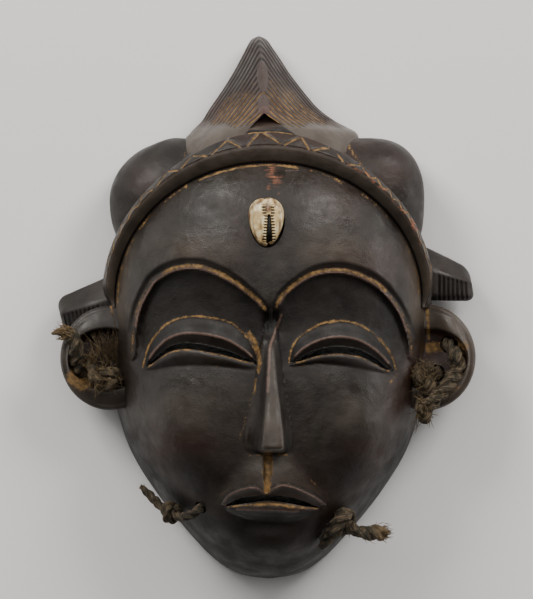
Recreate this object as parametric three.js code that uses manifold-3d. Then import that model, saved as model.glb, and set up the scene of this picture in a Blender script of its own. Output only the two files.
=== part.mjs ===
// A hollow terracotta face mask of a West African kind, lying on its back rim with the face up.
// The face looks along +Z, the crest points along +Y, and the rim lies in the plane Z = 0. Millimetres.
// The mask is one fired shell: face, hair band, crest, lobes, side tresses and ears are all of one piece.
// A cowrie is set into the forehead, and short fibre cords are knotted through the ears and the jaw.

import * as THREE from "three";
import { mergeVertices } from "three/addons/utils/BufferGeometryUtils.js";
import Module from "manifold-3d";

const wasm = await Module();
wasm.setup();

// Driving dimensions of the shell
const RIM_WALL = 8; // thickness of the shell at its back rim
const FACE_WALL = 14; // thickness of the shell behind the features
const SECTION_POWER = 2.4; // 2 gives an elliptical cross section, more a fuller one
// Half width of the shell at the rim, from the crown down to the chin, as [y, half width]
const HALF_WIDTHS = [
  [92, 0], [89, 22], [80, 43], [66, 60], [45, 73], [20, 79], [-5, 80], [-28, 79], [-50, 75],
  [-70, 68.5], [-90, 56.5], [-110, 40.5], [-124, 27], [-131, 16], [-134.4, 0],
];
// Height of the face over the rim plane along the middle, as [y, height]
const DEPTHS = [
  [92, 0], [89, 28], [83, 44], [74, 57.5], [60, 69], [42, 76], [22, 78.5], [0, 78], [-25, 76],
  [-50, 73.5], [-75, 70], [-95, 64.5], [-110, 56.5], [-122, 45], [-130, 30], [-134.4, 0],
];
const [CROWN, CHIN] = [HALF_WIDTHS[0][0], HALF_WIDTHS[HALF_WIDTHS.length - 1][0]];
// Soft swellings of the face, as [x, y, height, spread across, spread along]
const SWELLINGS = [
  [-50, -58, 3.5, 17, 20], [52, -58, 3.5, 17, 20], [1, -116, 2.5, 18, 9], [1, -104, -2, 16, 5],
];
const SWELLING_FADE = 1.6; // swellings fade where the section is lower than one part in this many

// The features of the face stand a little to the right of the shell's own axis.
const FACE_X = 1.2;

// Brow arcs from the root of the nose outward, as [distance from the face's axis, y]
const BROWS = [
  [[1.4, 0.5], [6, 5.4], [14.8, 14.3], [26.7, 20.5], [38.7, 22.9], [53, 19.1], [62.6, 11], [66.6, 2], [68.4, -9],
    [69, -20]],
  [[0.2, 0.5], [6.7, 7.6], [16.2, 14.3], [30.6, 19.1], [44.9, 17.2], [54.4, 11], [61.6, 1.4], [65.4, -10.5],
    [67.3, -20]],
];
const SOCKET_FLOOR = [[3, -38], [16, -40], [34, -40], [50, -39], [63, -34]];
// Depth of the socket under the face's surface, by the way down from the brow to the cheek
const SOCKET_DEPTHS = [
  [0, 1.7], [0.08, 1.9], [0.1, 3.8], [0.22, 6.6], [0.42, 7.8], [0.62, 6.8], [0.84, 2.4], [1, -0.5],
];
// Share of that depth that is left toward the nose and toward the temple, by the way outward
const SOCKET_ENDS = [[0, 0.6], [0.2, 1], [0.86, 1], [1, 0.25]];
// The eye: a bulging almond with a downturned slit
const LID_TOP = [[6.3, -29.5], [6.6, -21.5], [11, -14.5], [18.5, -8.3], [27, -4.9], [37, -5.2], [47, -8.8],
  [55.6, -16.6], [60.4, -28.4]];
const LID_FLOOR = [[6.6, -31], [17, -29.4], [26, -27.8], [34, -27], [46, -26.8], [54, -28.2], [60.2, -30.4]];
const LID_LEVELS = [[0, -6.3], [0.06, -5], [0.25, -2.8], [0.42, -1.2], [0.6, -0.6], [0.8, -0.9], [1, -2]];
const LID_DROP = 2.2; // how much lower the lids lie at the corners of the eye
const SLIT_ARCH = [[9, -26.3], [17.5, -21.6], [26, -18.4], [35, -17.3], [44.5, -18.9], [52, -22.4], [57.6, -27]];
const SLIT_OPENING = [0.4, 3.5]; // at the corners and in the middle

// The nose, as [y, half width of its ridge, half width of its foot, height over the face]
const NOSE = [
  [3, 0.8, 2.4, -0.6], [-4, 1.6, 4.6, 1.6], [-16, 2.3, 6.6, 5.2], [-32, 3, 8.2, 9.8], [-46, 3.9, 10, 14],
  [-57, 5, 12, 18.2], [-63.5, 5.2, 12.9, 20.4], [-66.8, 4.4, 12.8, 19], [-68, 3.4, 12, 16.4],
];
// The raised ground between nose and mouth
const MUZZLE_TOP = [[-14, -66], [1, -64], [15, -66]];
const MUZZLE_FOOT = [[-31, -95], [1, -103], [32, -95]];
const MUZZLE_HEIGHTS = [[0, 4.4], [0.4, 4.4], [0.8, 4.4], [1, 0.9]];
// The mouth, with the height of each lip over the face by the way down
const MOUTH_X = 1.4;
const LIP_TOP = [[-25.4, -93.2], [-17.4, -87.2], [-7.6, -84.6], [-2.2, -87], [3.4, -84.8], [11.8, -85.2],
  [25.4, -93.2]];
const SLIT_TOP = [[-21.6, -95.4], [-12, -91.6], [-1.6, -90], [12, -91.6], [23.4, -95.8]];
const SLIT_FLOOR = [[-21.6, -95.9], [-12, -94.6], [-1.6, -93.4], [12, -94.6], [23.4, -96.3]];
const LIP_FLOOR = [[-19.6, -97.2], [-10, -98.8], [-1.6, -99.3], [11, -99.1], [22.8, -97.4]];
const UPPER_LIP_HEIGHTS = [[0, 4.2], [0.3, 5.6], [0.7, 7], [1, 7]];
const LOWER_LIP_HEIGHTS = [[0, 5.8], [0.4, 5.6], [0.8, 3.6], [1, 1.2]];
// The groove over the upper lip: its left and right edge, and its floor over the face
const PHILTRUM = [[[-2.2, -69.4], [-1.6, -86.2]], [[1.6, -69.4], [0.4, -86.2]]];
const PHILTRUM_FLOOR = 1.6;

// The hair band: three nested half ellipses round the forehead, given by their half sizes
const BAND_Y = 4;
const BAND_INNER = [75, 66.2];
const BAND_RIDGE = [80, 74.6];
const BAND_OUTER = [81.8, 77.4];
const BAND_PEAK = 4; // extra height of the outer edge at the top
const BAND_ENDS = [-3, 183]; // degrees
const BAND_RISE = 5.6;
const BAND_FALL = [9, 4.4]; // from the ridge to the outer edge, at the ends and at the top
const BAND_STEPS = 32;

// The crest, as [y, half width, x of its middle, height of its edges, height of its ridge, roundness]
const CREST = [
  [62, 46, 0, 34, 60, 2.2], [79, 44.5, 0.5, 26, 60, 2], [86, 40.4, 2, 20, 61.4, 1.6],
  [89, 37.4, 1.4, 18, 62.2, 1.35], [92.3, 32.6, -0.2, 17, 61.6, 1.15], [98, 27, -1.5, 16.5, 57.5, 1],
  [107, 20, -3, 15.5, 49.5, 1], [118, 12.8, -3.9, 14.5, 40.5, 1], [128, 6.6, -4.4, 13.4, 31.5, 1],
  [133.9, 1.4, -4.7, 13, 23, 1],
];
const CREST_ACROSS = [-1, -0.75, -0.4, 0, 0.4, 0.75, 1];
const CREST_BACK = 6;
const CREST_BACK_SHARE = 0.86; // width of the back of the crest as a share of its front
const RIDGE_X = -2.4; // the front ridge at its foot, from where it leans over to the tip
const RIDGE_Y = [95, 133];
const GROOVES = 6; // on each side of the crest
const GROOVE_PITCH = 3.6;
const GROOVE = [1.1, 0.8]; // width and depth
const GROOVE_ENDS = [91.5, 88]; // y where the outermost and the innermost groove end
// The small three-cornered recess under the foot of the ridge
const RECESS = [[-2.2, 93.4], [-9, 87.6], [11.4, 86.4]];
const RECESS_FLOOR = 53;
// The hollow in the crest, as [y, half width, height]
const CREST_HOLLOW = [[66, 30, 44], [78, 29, 44], [88, 24, 45], [97, 16, 40], [105, 9, 34], [111, 5, 28]];

// Rounded lobes of hair behind the band, as middle and half sizes
const LOBES = [[[-44, 51, 14], [34.6, 33.4, 30]], [[43, 51, 14], [34, 33.4, 30]]];
const LOBE_POWER = 2.35;
const LOBE_WALL = [8, 8, 5];

// Side tresses: four corners in x and y seen from the front, for the left and the right
const TRESSES = [
  [[-70, 19.5], [-103.6, 7.4], [-105.4, -12.5], [-70, -12.5]],
  [[70, 33.5], [99, 19.4], [101.6, 3.4], [70, 3.8]],
];
const TRESS_Z = [7, 27];
const TRESS_BEVEL = [0.4, 8]; // the upper front edge: its share of the face, and how far it falls back
const TRESS_DROPS = [0, -2, -4.5]; // of the front face at the root, before the end and at the end
const TRESS_RIBS = 7;
const RIB_FROM = 83.5; // x of the rib next to the ear
const RIB = [1.3, 1.1]; // width and depth of the grooves between the ribs

// Ears: a thick round flap with a raised rim, as [x, y, half width, half height]
const EARS = [[-77.5, -24.4, 24.6, 25.6], [77, -24.2, 24.6, 26]];
const EAR_Z = [16, 34];
const EAR_FLOOR = 27;
const CONCHA = [2, -2.4, 18.8, 16.4]; // shift outward, shift along, half sizes
const EAR_HOLE = [-87.4, -14.4, 5.4]; // the open hole in the left ear: x, y and diameter

// The cowrie: middle, half sizes, fullness, and how much the upper end is the broader
const COWRIE = [-0.7, 41.4, 77.6];
const COWRIE_HALF = [8.2, 11.8, 5.2];
const COWRIE_POWER = 2.2;
const COWRIE_EGG = 0.16;
const COWRIE_SLIT = [[0, 51.4, 81.8], [0.2, 29.4, 81.2]];

// The fibre cords: each route runs from the hidden end behind the clay to the end that shows in front.
// bored is the stretch of the route that lies in the clay, in millimetres from its start.
const CORD_PLAY = 1.6; // how much wider each hole is than its cord
const CORDS = {
  cord_ear_right: { diameter: 6.4, bored: [[0, 14], [33, 51]], route: [
    [82.4, -32, 27.7], [82.4, -32, 22], [82.4, -31.6, 15.5], [83, -29, 9.2], [84.8, -24.6, 7.2], [86.8, -20, 9.2],
    [87.6, -18, 15.5], [87.8, -17.6, 22], [89, -18.6, 28], [91.6, -22.8, 31.2], [93, -29.4, 31.4],
    [89.4, -35, 34.8], [85, -40.6, 38.4], [80, -45.6, 38.8], [76.4, -51.4, 38]] },
  cord_ear_left: { diameter: 6.4, bored: [[0, 14], [30, 48]], route: [
    [-82.6, -34.2, 27.7], [-82.6, -34.2, 22], [-82.8, -34.2, 15.5], [-84.4, -33.8, 9.2], [-88, -33, 7.4],
    [-91.4, -32.2, 9.2], [-92.6, -31.8, 15.5], [-92.6, -31.6, 22], [-92.8, -30, 28.4], [-93.6, -24.5, 33.4],
    [-94.2, -18.4, 37.7], [-96.6, -13.2, 38.6], [-101, -11.6, 38.4], [-106, -12.4, 37.6]] },
  cord_jaw_left: { diameter: 4.8, bored: [[4, 26]], route: [
    [-19.1, -83.6, 37.5], [-25, -89.1, 43.4], [-32, -95.8, 50.5], [-34.9, -98.5, 53.4], [-39.5, -100.8, 50.6],
    [-43.5, -101.5, 43.9], [-47, -100, 41], [-50.5, -98.5, 38.1], [-57, -92.5, 34.2], [-62.5, -87.2, 31.5]] },
  cord_jaw_right: { diameter: 6.6, bored: [[4, 25]], route: [
    [18.5, -87.7, 33.6], [25.7, -94, 39.1], [34.1, -101.4, 45.7], [39.6, -106.2, 50.2], [44.6, -108.6, 52.2],
    [50.4, -109.2, 50.8], [56.6, -109.2, 48.4]] },
  cord_jaw_right_end: { diameter: 6.6, bored: [], route: [
    [29.7, -110.3, 48.1], [27.7, -113.3, 46.9], [25.4, -116.6, 45]] },
};
const CORD_SIDES = 8;
// Turns of cord round a cord, as rings: the cord, how far along its route, bore, outer diameter and length
const TURNS = {
  knot_jaw_left: ["cord_jaw_left", 46.5, 5.9, 10.4, 8],
  stop_jaw_left: ["cord_jaw_left", 6, 5.4, 10.6, 6],
  knot_jaw_right: ["cord_jaw_right", 28.5, 7.2, 17.2, 6.4],
  stop_jaw_right: ["cord_jaw_right", 6, 7.2, 13.4, 6],
};
const TURN_SHOULDER = 0.85; // diameter at the ends of a turn as a share of its middle
// Frayed lumps that cover the hidden end of an ear's cord, as middle and half sizes
const LUMPS = {
  knot_ear_right: [[80.2, -31.6, 34.8], [6.2, 7, 6.6]],
  knot_ear_left: [[-80.6, -34.4, 34.6], [7.4, 5.8, 6.4]],
};

// Small gap kept between pieces
const GAP = 0.3;
// After the cuts, closer points than this are merged and thinner faces than this are turned.
const WELD = 0.06;
const THIN = 0.02;
const PASSES = 6;
// Levels well in front of the face and behind it, for cuts that go right through
const [BEFORE, BEHIND] = [110, 5];

const CLAY = { color: 0x2b211d, roughness: 0.45 };
const SHELL = { color: 0xd9c7a0, roughness: 0.35 };
const FIBRE = { color: 0x4a3f2c, roughness: 0.9 };

const SIDES = [-1, 1];
const clamp01 = (t) => Math.min(1, Math.max(0, t));
const mix = (a, b, t) => a + (b - a) * t;
const rad = (degrees) => (degrees * Math.PI) / 180;

// Even steps along a smooth curve through points
function rail(points, steps) {
  const path = new THREE.CatmullRomCurve3(points.map(([x, y]) => new THREE.Vector3(x, y, 0)), false, "centripetal");
  return path.getSpacedPoints(steps).map((p) => [p.x, p.y]);
}

// Value of a table of rising [key, value, ...] rows at a key, in a straight line between rows
function read(table, key, column = 1) {
  if (key <= table[0][0]) return table[0][column];
  const i = table.findIndex((row) => row[0] >= key);
  if (i < 0) return table[table.length - 1][column];
  const [a, b] = [table[i - 1], table[i]];
  return mix(a[column], b[column], (key - a[0]) / (b[0] - a[0]));
}

const widthTable = rail(HALF_WIDTHS, 300).reverse();
const depthTable = rail(DEPTHS, 300).reverse();

// Height of a cross section as a share of its middle, by the way out from the middle to the rim
const section = (t) => Math.sqrt(1 - Math.pow(Math.min(1, Math.abs(t)), SECTION_POWER));

function swelling(x, y) {
  return SWELLINGS.reduce(
    (sum, [cx, cy, h, sx, sy]) => sum + h * Math.exp(-(((x - cx) / sx) ** 2) - ((y - cy) / sy) ** 2), 0);
}

// Height of the smooth face over the rim plane
function skin(x, y) {
  const edge = section(x / Math.max(1e-6, read(widthTable, y)));
  return read(depthTable, y) * edge + swelling(x, y) * clamp01(edge * SWELLING_FADE);
}

function solidOf(points, faces) {
  const geometry = new THREE.BufferGeometry();
  geometry.setAttribute("position", new THREE.Float32BufferAttribute(points.flat(), 3));
  geometry.setIndex(faces.flat());
  const merged = mergeVertices(geometry, 1e-4);
  const whole = [];
  for (let i = 0; i < merged.index.count; i += 3) {
    const [a, b, c] = [0, 1, 2].map((k) => merged.index.array[i + k]);
    if (a !== b && b !== c && c !== a) whole.push(a, b, c);
  }
  return new wasm.Manifold(new wasm.Mesh({
    numProp: 3, vertProperties: merged.attributes.position.array, triVerts: new Uint32Array(whole),
  }));
}

// A closed surface turned so that its faces look outward
function outward(points, faces) {
  const solid = solidOf(points, faces);
  return solid.volume() < 0 ? solidOf(points, faces.map(([a, b, c]) => [a, c, b])) : solid;
}

// Faces left after each edge shorter than WELD has been shrunk to a point
function weld(points, faces) {
  const around = points.map(() => new Set());
  faces.forEach((f) => f.forEach((a, i) => around[a].add(f[(i + 1) % 3]).add(f[(i + 2) % 3])));
  const into = points.map((_, i) => i);
  const touched = new Set();
  for (const f of faces)
    for (let i = 0; i < 3; i++) {
      const [a, b] = [f[i], f[(i + 1) % 3]];
      if (points[a].distanceTo(points[b]) > WELD || touched.has(a) || touched.has(b)) continue;
      if ([...around[a]].filter((p) => around[b].has(p)).length !== 2) continue;
      into[b] = a;
      [a, b].forEach((p) => around[p].forEach((q) => touched.add(q)));
    }
  return faces.map((f) => f.map((p) => into[p])).filter(([a, b, c]) => a !== b && b !== c && c !== a);
}

// Faces with each one thinner than THIN turned together with its neighbour over its longest edge
function turnThin(points, faces) {
  const owner = new Map();
  faces.forEach((f, n) => f.forEach((a, i) => owner.set(a + "_" + f[(i + 1) % 3], n)));
  const touched = new Set();
  faces.forEach((f, n) => {
    const lengths = f.map((a, i) => points[a].distanceTo(points[f[(i + 1) % 3]]));
    const i = lengths.indexOf(Math.max(...lengths));
    const [a, b, c] = [f[i], f[(i + 1) % 3], f[(i + 2) % 3]];
    const [u, v] = [b, c].map((p) => new THREE.Vector3().subVectors(points[p], points[a]));
    if (u.cross(v).length() / lengths[i] > THIN || touched.has(n)) return;
    const other = owner.get(b + "_" + a);
    const q = faces[other].find((p) => p !== a && p !== b);
    if (touched.has(other) || owner.has(q + "_" + c) || owner.has(c + "_" + q)) return;
    faces[n] = [a, q, c];
    faces[other] = [q, b, c];
    faces[n].concat(faces[other]).forEach((p) => faces.forEach((g, m) => g.includes(p) && touched.add(m)));
  });
  return faces;
}

function geometryOf(solid) {
  const mesh = solid.getMesh();
  const points = Array.from({ length: mesh.vertProperties.length / 3 },
    (_, i) => new THREE.Vector3().fromArray(mesh.vertProperties, 3 * i));
  let faces = Array.from({ length: mesh.triVerts.length / 3 },
    (_, i) => Array.from(mesh.triVerts.subarray(3 * i, 3 * i + 3)));
  for (let pass = 0; pass < PASSES; pass++) faces = turnThin(points, weld(points, faces));
  const geometry = new THREE.BufferGeometry().setFromPoints(points);
  geometry.setIndex(faces.flat());
  geometry.computeVertexNormals();
  return geometry;
}

// A closed solid through rings of equal point counts, with a fan over each end
function loft(rings) {
  const n = rings[0].length;
  const points = rings.flat();
  const faces = [];
  for (let r = 0; r + 1 < rings.length; r++)
    for (let j = 0; j < n; j++) {
      const k = (j + 1) % n;
      faces.push([r * n + j, r * n + k, (r + 1) * n + k], [r * n + j, (r + 1) * n + k, (r + 1) * n + j]);
    }
  [0, rings.length - 1].forEach((r, last) => {
    const middle = points.push([0, 1, 2].map((c) => rings[r].reduce((s, p) => s + p[c], 0) / n)) - 1;
    for (let j = 0; j < n; j++) {
      const [a, b] = [r * n + j, r * n + ((j + 1) % n)];
      faces.push(last ? [a, b, middle] : [b, a, middle]);
    }
  });
  return outward(points, faces);
}

// A closed solid over the strip between two rows of [x, y]. Its top and bottom heights are functions of
// x, y, the way along the rows and the way across from the first row to the second.
function between(rowA, rowB, across, top, bottom) {
  const [m, n] = [rowA.length, across.length];
  const points = [];
  for (const height of [top, bottom])
    rowA.forEach((a, i) => across.forEach((v) => {
      const [x, y] = [mix(a[0], rowB[i][0], v), mix(a[1], rowB[i][1], v)];
      points.push([x, y, height(x, y, i / (m - 1), v)]);
    }));
  const at = (layer, i, j) => (layer * m + i) * n + j;
  const faces = [];
  const quad = (a, b, c, d) => faces.push([a, b, c], [a, c, d]);
  for (let i = 0; i + 1 < m; i++) {
    for (let j = 0; j + 1 < n; j++) {
      quad(at(0, i, j), at(0, i + 1, j), at(0, i + 1, j + 1), at(0, i, j + 1));
      quad(at(1, i, j), at(1, i, j + 1), at(1, i + 1, j + 1), at(1, i + 1, j));
    }
    quad(at(0, i, 0), at(1, i, 0), at(1, i + 1, 0), at(0, i + 1, 0));
    quad(at(0, i + 1, n - 1), at(1, i + 1, n - 1), at(1, i, n - 1), at(0, i, n - 1));
  }
  for (let j = 0; j + 1 < n; j++) {
    quad(at(0, 0, j + 1), at(1, 0, j + 1), at(1, 0, j), at(0, 0, j));
    quad(at(0, m - 1, j), at(1, m - 1, j), at(1, m - 1, j + 1), at(0, m - 1, j + 1));
  }
  return outward(points, faces);
}

// An upright solid with the same outline at every height, drawn in or out at the given [z, inset] levels
function upright(outline, levels) {
  const middle = [0, 1].map((c) => outline.reduce((s, p) => s + p[c], 0) / outline.length);
  return loft(levels.map(([z, inset]) => outline.map(([x, y]) => {
    const r = Math.hypot(x - middle[0], y - middle[1]);
    return [mix(x, middle[0], inset / r), mix(y, middle[1], inset / r), z];
  })));
}

function ellipse(x, y, a, b, count) {
  return Array.from({ length: count }, (_, i) => {
    const t = (2 * Math.PI * i) / count;
    return [x + a * Math.cos(t), y + b * Math.sin(t)];
  });
}

// A rounded body, a little fuller than an ellipsoid when its power is over 2
function ball([x, y, z], [a, b, c], power, egg, columns, rows) {
  const polar = 0.94; // the end fans close what is left over each pole
  const rings = [];
  for (let i = 0; i < rows; i++) {
    const tilt = mix(-polar, polar, i / (rows - 1)) * (Math.PI / 2);
    rings.push(ellipse(0, 0, Math.cos(tilt), Math.cos(tilt), columns).map(([u, v]) => {
      const w = Math.sin(tilt);
      const r = Math.pow(Math.abs(u) ** power + Math.abs(v) ** power + Math.abs(w) ** power, -1 / power);
      return [x + a * u * r * (1 + egg * v * r), y + b * v * r, z + c * w * r];
    }));
  }
  return loft(rings);
}

// One straight cut of V section between two points, opening toward an up direction
function scratch(from, to, [width, depth], up) {
  const [a, b, n] = [from, to, up].map((p) => new THREE.Vector3(...p));
  const across = new THREE.Vector3().subVectors(b, a).cross(n).setLength(width * 0.8);
  n.normalize();
  const ring = (p) => [[1, 0.6 * depth], [-1, 0.6 * depth], [0, -depth]].map(([u, v]) =>
    p.clone().addScaledVector(across, u).addScaledVector(n, v).toArray());
  return loft([ring(a), ring(b)]);
}

// A three.js geometry as a closed solid
function fromGeometry(geometry) {
  const whole = geometry.index ? geometry.toNonIndexed() : geometry;
  const flat = whole.attributes.position.array;
  const points = Array.from({ length: flat.length / 3 }, (_, i) => [flat[3 * i], flat[3 * i + 1], flat[3 * i + 2]]);
  return outward(points, Array.from({ length: points.length / 3 }, (_, i) => [3 * i, 3 * i + 1, 3 * i + 2]));
}

const allOf = (solids) => solids.reduce((all, s) => all.add(s));

// The outer dome in rings from the chin to the crown
function dome(rows, columns) {
  const rings = [];
  for (let i = 0; i <= rows; i++) {
    const y = mix(CHIN, CROWN, (1 - Math.cos(Math.PI * mix(0.03, 0.97, i / rows))) / 2);
    const w = Math.max(1, read(widthTable, y));
    const ring = [];
    for (let j = 0; j <= columns; j++) {
      const x = w * Math.cos((Math.PI * j) / columns);
      ring.push([x, y, j % columns ? skin(x, y) : 0]);
    }
    rings.push(ring);
  }
  return loft(rings);
}

// The hollow behind the face: the dome's own shape, smaller by the wall
function hollowDome(rows, columns) {
  const narrow = 1 - RIM_WALL / Math.max(...HALF_WIDTHS.map((row) => row[1]));
  const shallow = 1 - FACE_WALL / Math.max(...DEPTHS.map((row) => row[1]));
  const rings = [];
  for (let i = 0; i <= rows; i++) {
    const y = mix(CHIN, CROWN, (1 - Math.cos(Math.PI * mix(0.03, 0.97, i / rows))) / 2);
    const inner = mix(CHIN + RIM_WALL, CROWN - RIM_WALL, (y - CHIN) / (CROWN - CHIN));
    const ring = [];
    for (let j = 0; j <= columns; j++) {
      const t = Math.cos((Math.PI * j) / columns);
      const z = j % columns ? read(depthTable, y) * shallow * section(t) : -1;
      ring.push([read(widthTable, y) * narrow * t, inner, z]);
    }
    rings.push(ring);
  }
  return loft(rings);
}

// Eyes. A rail of feature points is given by distance from the face's axis, so one row serves both sides.
const sideRail = (points, side, steps) => rail(points.map(([u, y]) => [FACE_X + side * u, y]), steps);

function socket(side, i) {
  const [brow, floor] = [sideRail(BROWS[i], side, 14), sideRail(SOCKET_FLOOR, side, 14)];
  return between(brow, floor, SOCKET_DEPTHS.map((row) => row[0]), (x, y) => skin(x, y) + 12,
    (x, y, a, v) => skin(x, y) - read(SOCKET_DEPTHS, v) * read(SOCKET_ENDS, a));
}

function eye(side) {
  const drop = (a) => LID_DROP * (1 - Math.sqrt(Math.sin(Math.PI * mix(0.03, 0.97, a))));
  return between(sideRail(LID_TOP, side, 12), sideRail(LID_FLOOR, side, 12), LID_LEVELS.map((row) => row[0]),
    (x, y, a, v) => skin(x, y) + read(LID_LEVELS, v) - drop(a), (x, y) => skin(x, y) - 11);
}

function eyeSlit(side) {
  const arch = sideRail(SLIT_ARCH, side, 10);
  const lower = arch.map(([x, y], i) => [x, y - mix(...SLIT_OPENING, Math.sqrt(Math.sin((Math.PI * i) / 10)))]);
  return between(arch, lower, [0, 1], () => BEFORE, () => BEHIND);
}

function nose() {
  return loft(NOSE.map(([y, ridge, foot, height]) => {
    const level = skin(FACE_X, y);
    const half = [[foot * 0.9, level - 14], [foot, level - 3],
      [mix(ridge, foot, 0.45), level + mix(-3, height, 0.6)], [ridge, level + height - 0.9]];
    const right = half.map(([u, z]) => [FACE_X + u, y, z]);
    const left = half.map(([u, z]) => [FACE_X - u, y, z]).reverse();
    return [...right, [FACE_X, y, level + height], ...left];
  }));
}

// Mouth. Each part is rooted this far under the face's surface.
const ROOT = (x, y) => skin(x, y) - 6;

function muzzle() {
  const along = (a) => Math.pow(Math.sin(Math.PI * clamp01(a)), 0.7);
  return between(rail(MUZZLE_TOP, 10), rail(MUZZLE_FOOT, 10), MUZZLE_HEIGHTS.map((row) => row[0]),
    (x, y, a, v) => skin(x, y) - 0.8 + read(MUZZLE_HEIGHTS, v) * along(a), ROOT);
}

const mouthRail = (points, steps) => rail(points.map(([x, y]) => [MOUTH_X + x, y]), steps);

function lip(top, foot, heights) {
  const along = (a) => Math.sqrt(Math.sin(Math.PI * mix(0.02, 0.98, a)));
  return between(mouthRail(top, 14), mouthRail(foot, 14), heights.map((row) => row[0]),
    (x, y, a, v) => skin(x, y) + read(heights, v) * along(a), ROOT);
}

const mouthSlit = () =>
  between(mouthRail(SLIT_TOP, 10), mouthRail(SLIT_FLOOR, 10), [0, 1], () => BEFORE, () => BEHIND);
const philtrum = () => between(...PHILTRUM, [0, 1], () => BEFORE, (x, y) => skin(x, y) + PHILTRUM_FLOOR);

// Hair band
function bandPoint([a, b], degrees, peak = 0) {
  const up = Math.sin(rad(degrees));
  return [a * Math.cos(rad(degrees)), BAND_Y + b * up + peak * Math.pow(Math.max(0, up), 10)];
}

function band() {
  const rings = [];
  for (let i = 0; i <= BAND_STEPS; i++) {
    const t = mix(...BAND_ENDS, i / BAND_STEPS);
    const up = clamp01(Math.sin(rad(t)));
    const edge = bandPoint(BAND_INNER, t);
    const inner = skin(...edge);
    const ridge = inner + BAND_RISE;
    const foot = Math.max(4, mix(4, ridge - 26, up));
    rings.push([
      [...edge, inner + 0.5], [...bandPoint(BAND_RIDGE, t), ridge],
      [...bandPoint(BAND_OUTER, t, BAND_PEAK), ridge - mix(...BAND_FALL, up)],
      [...bandPoint(BAND_OUTER.map((half) => half - 1), t, BAND_PEAK), foot],
      [...bandPoint(BAND_INNER.map((half) => half - 2.5), t), foot],
    ]);
  }
  return loft(rings);
}

// Crest
const crestAt = (y, column) => read(CREST, y, column);
const ridgeAt = (y) => mix(RIDGE_X, crestAt(y, 2), clamp01((y - RIDGE_Y[0]) / (RIDGE_Y[1] - RIDGE_Y[0])));

function crestHeight(x, y) {
  const side = x < ridgeAt(y) ? -1 : 1;
  const reach = crestAt(y, 1) + side * (crestAt(y, 2) - ridgeAt(y));
  const t = clamp01(Math.abs(x - ridgeAt(y)) / reach);
  return mix(crestAt(y, 4), crestAt(y, 3), Math.pow(t, crestAt(y, 5)));
}

function crest() {
  return loft(CREST.map(([y, half, middle]) => [
    ...CREST_ACROSS.map((t) => {
      const x = mix(ridgeAt(y), middle + Math.sign(t) * half, Math.abs(t));
      return [x, y, crestHeight(x, y)];
    }),
    [middle + half * CREST_BACK_SHARE, y, CREST_BACK], [middle - half * CREST_BACK_SHARE, y, CREST_BACK],
  ]));
}

// Nested grooves that follow each slope's own edge up to the ridge
function crestGrooves() {
  const cuts = [];
  for (const side of SIDES)
    for (let k = 0; k < GROOVES; k++) {
      const xAt = (y) => crestAt(y, 2) + side * (crestAt(y, 1) - GROOVE_PITCH * (k + 0.6));
      const end = mix(...GROOVE_ENDS, k / GROOVES);
      let top = end;
      while (side * (xAt(top) - ridgeAt(top)) > 0.6 && top < RIDGE_Y[1]) top += 0.5;
      cuts.push(loft([end, ...[98].filter((y) => y < top - 2), top].map((y) => {
        const x = xAt(y);
        const slope = (crestHeight(x + 0.4, y) - crestHeight(x - 0.4, y)) / 0.8;
        const n = new THREE.Vector3(-slope, 0, 1).normalize();
        const z = crestHeight(x, y);
        const at = (across, deep) => [x + n.z * across + n.x * deep, y, z - n.x * across + n.z * deep];
        const [half, depth] = [GROOVE[0] * 0.8, GROOVE[1]];
        return [at(-half, depth * 0.6), at(half, depth * 0.6), at(0, -depth)];
      })));
    }
  return allOf(cuts);
}

function crestHollow() {
  return loft(CREST_HOLLOW.map(([y, half, z]) => {
    const side = [[half, -1], [half, 14], [half * 0.4, z]];
    const [left, right] = SIDES.map((s) => side.map(([u, height]) => [crestAt(y, 2) + s * u, y, height]));
    return [...left, ...right.reverse()];
  }));
}

// Side tresses: a bevelled block with upright ribs on its lower front face
function tress([inTop, outTop, outLow, inLow]) {
  const [back, front] = TRESS_Z;
  const side = Math.sign(outTop[0]);
  const end = ([x, y], inset, trim) => [x - side * inset, y + trim];
  const stations = [
    [inTop, inLow], [end(outTop, 3, 0), end(outLow, 3, 0)], [end(outTop, 0, -2.4), end(outLow, 0, 2.4)],
  ];
  return loft(stations.map(([[x, top], [, low]], i) => {
    const z = front + TRESS_DROPS[i];
    return [[x, low, back], [x, low, z - 3], [x, mix(low, top, 0.12), z], [x, mix(low, top, 1 - TRESS_BEVEL[0]), z],
      [x, top, z - TRESS_BEVEL[1]], [x, top, back + 2]];
  }));
}

function tressRibs([inTop, outTop, outLow, inLow]) {
  const side = Math.sign(outTop[0]);
  const cuts = [];
  for (let i = 0; i < TRESS_RIBS; i++) {
    const x = side * mix(RIB_FROM, Math.abs(outTop[0]) - 4, i / (TRESS_RIBS - 1));
    const t = (x - inTop[0]) / (outTop[0] - inTop[0]);
    const [top, low] = [mix(inTop[1], outTop[1], t), mix(inLow[1], outLow[1], t)];
    const z = TRESS_Z[1] + TRESS_DROPS[1] * t;
    cuts.push(scratch([x, low - 1, z], [x - side * 0.6, mix(low, top, 0.56), z], RIB, [0, 0, 1]));
  }
  return allOf(cuts);
}

// Ears
function ear([x, y, a, b]) {
  const [back, front] = EAR_Z;
  const flap = upright(ellipse(x, y, a, b, 22), [[back, 3], [back + 4, 0], [front - 5, 0], [front, 3.2]]);
  const [out, along, ...half] = CONCHA;
  const recess = ellipse(x + Math.sign(x) * out, y + along, ...half, 16);
  return flap.subtract(upright(recess, [[EAR_FLOOR, 2.6], [front - 1, 0], [front + 4, -1]]));
}

function earHole() {
  const [x, y, diameter] = EAR_HOLE;
  return upright(ellipse(x, y, diameter / 2, diameter / 2, 10), [[EAR_Z[0] - 4, 0], [EAR_Z[1] + 4, 0]]);
}

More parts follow.
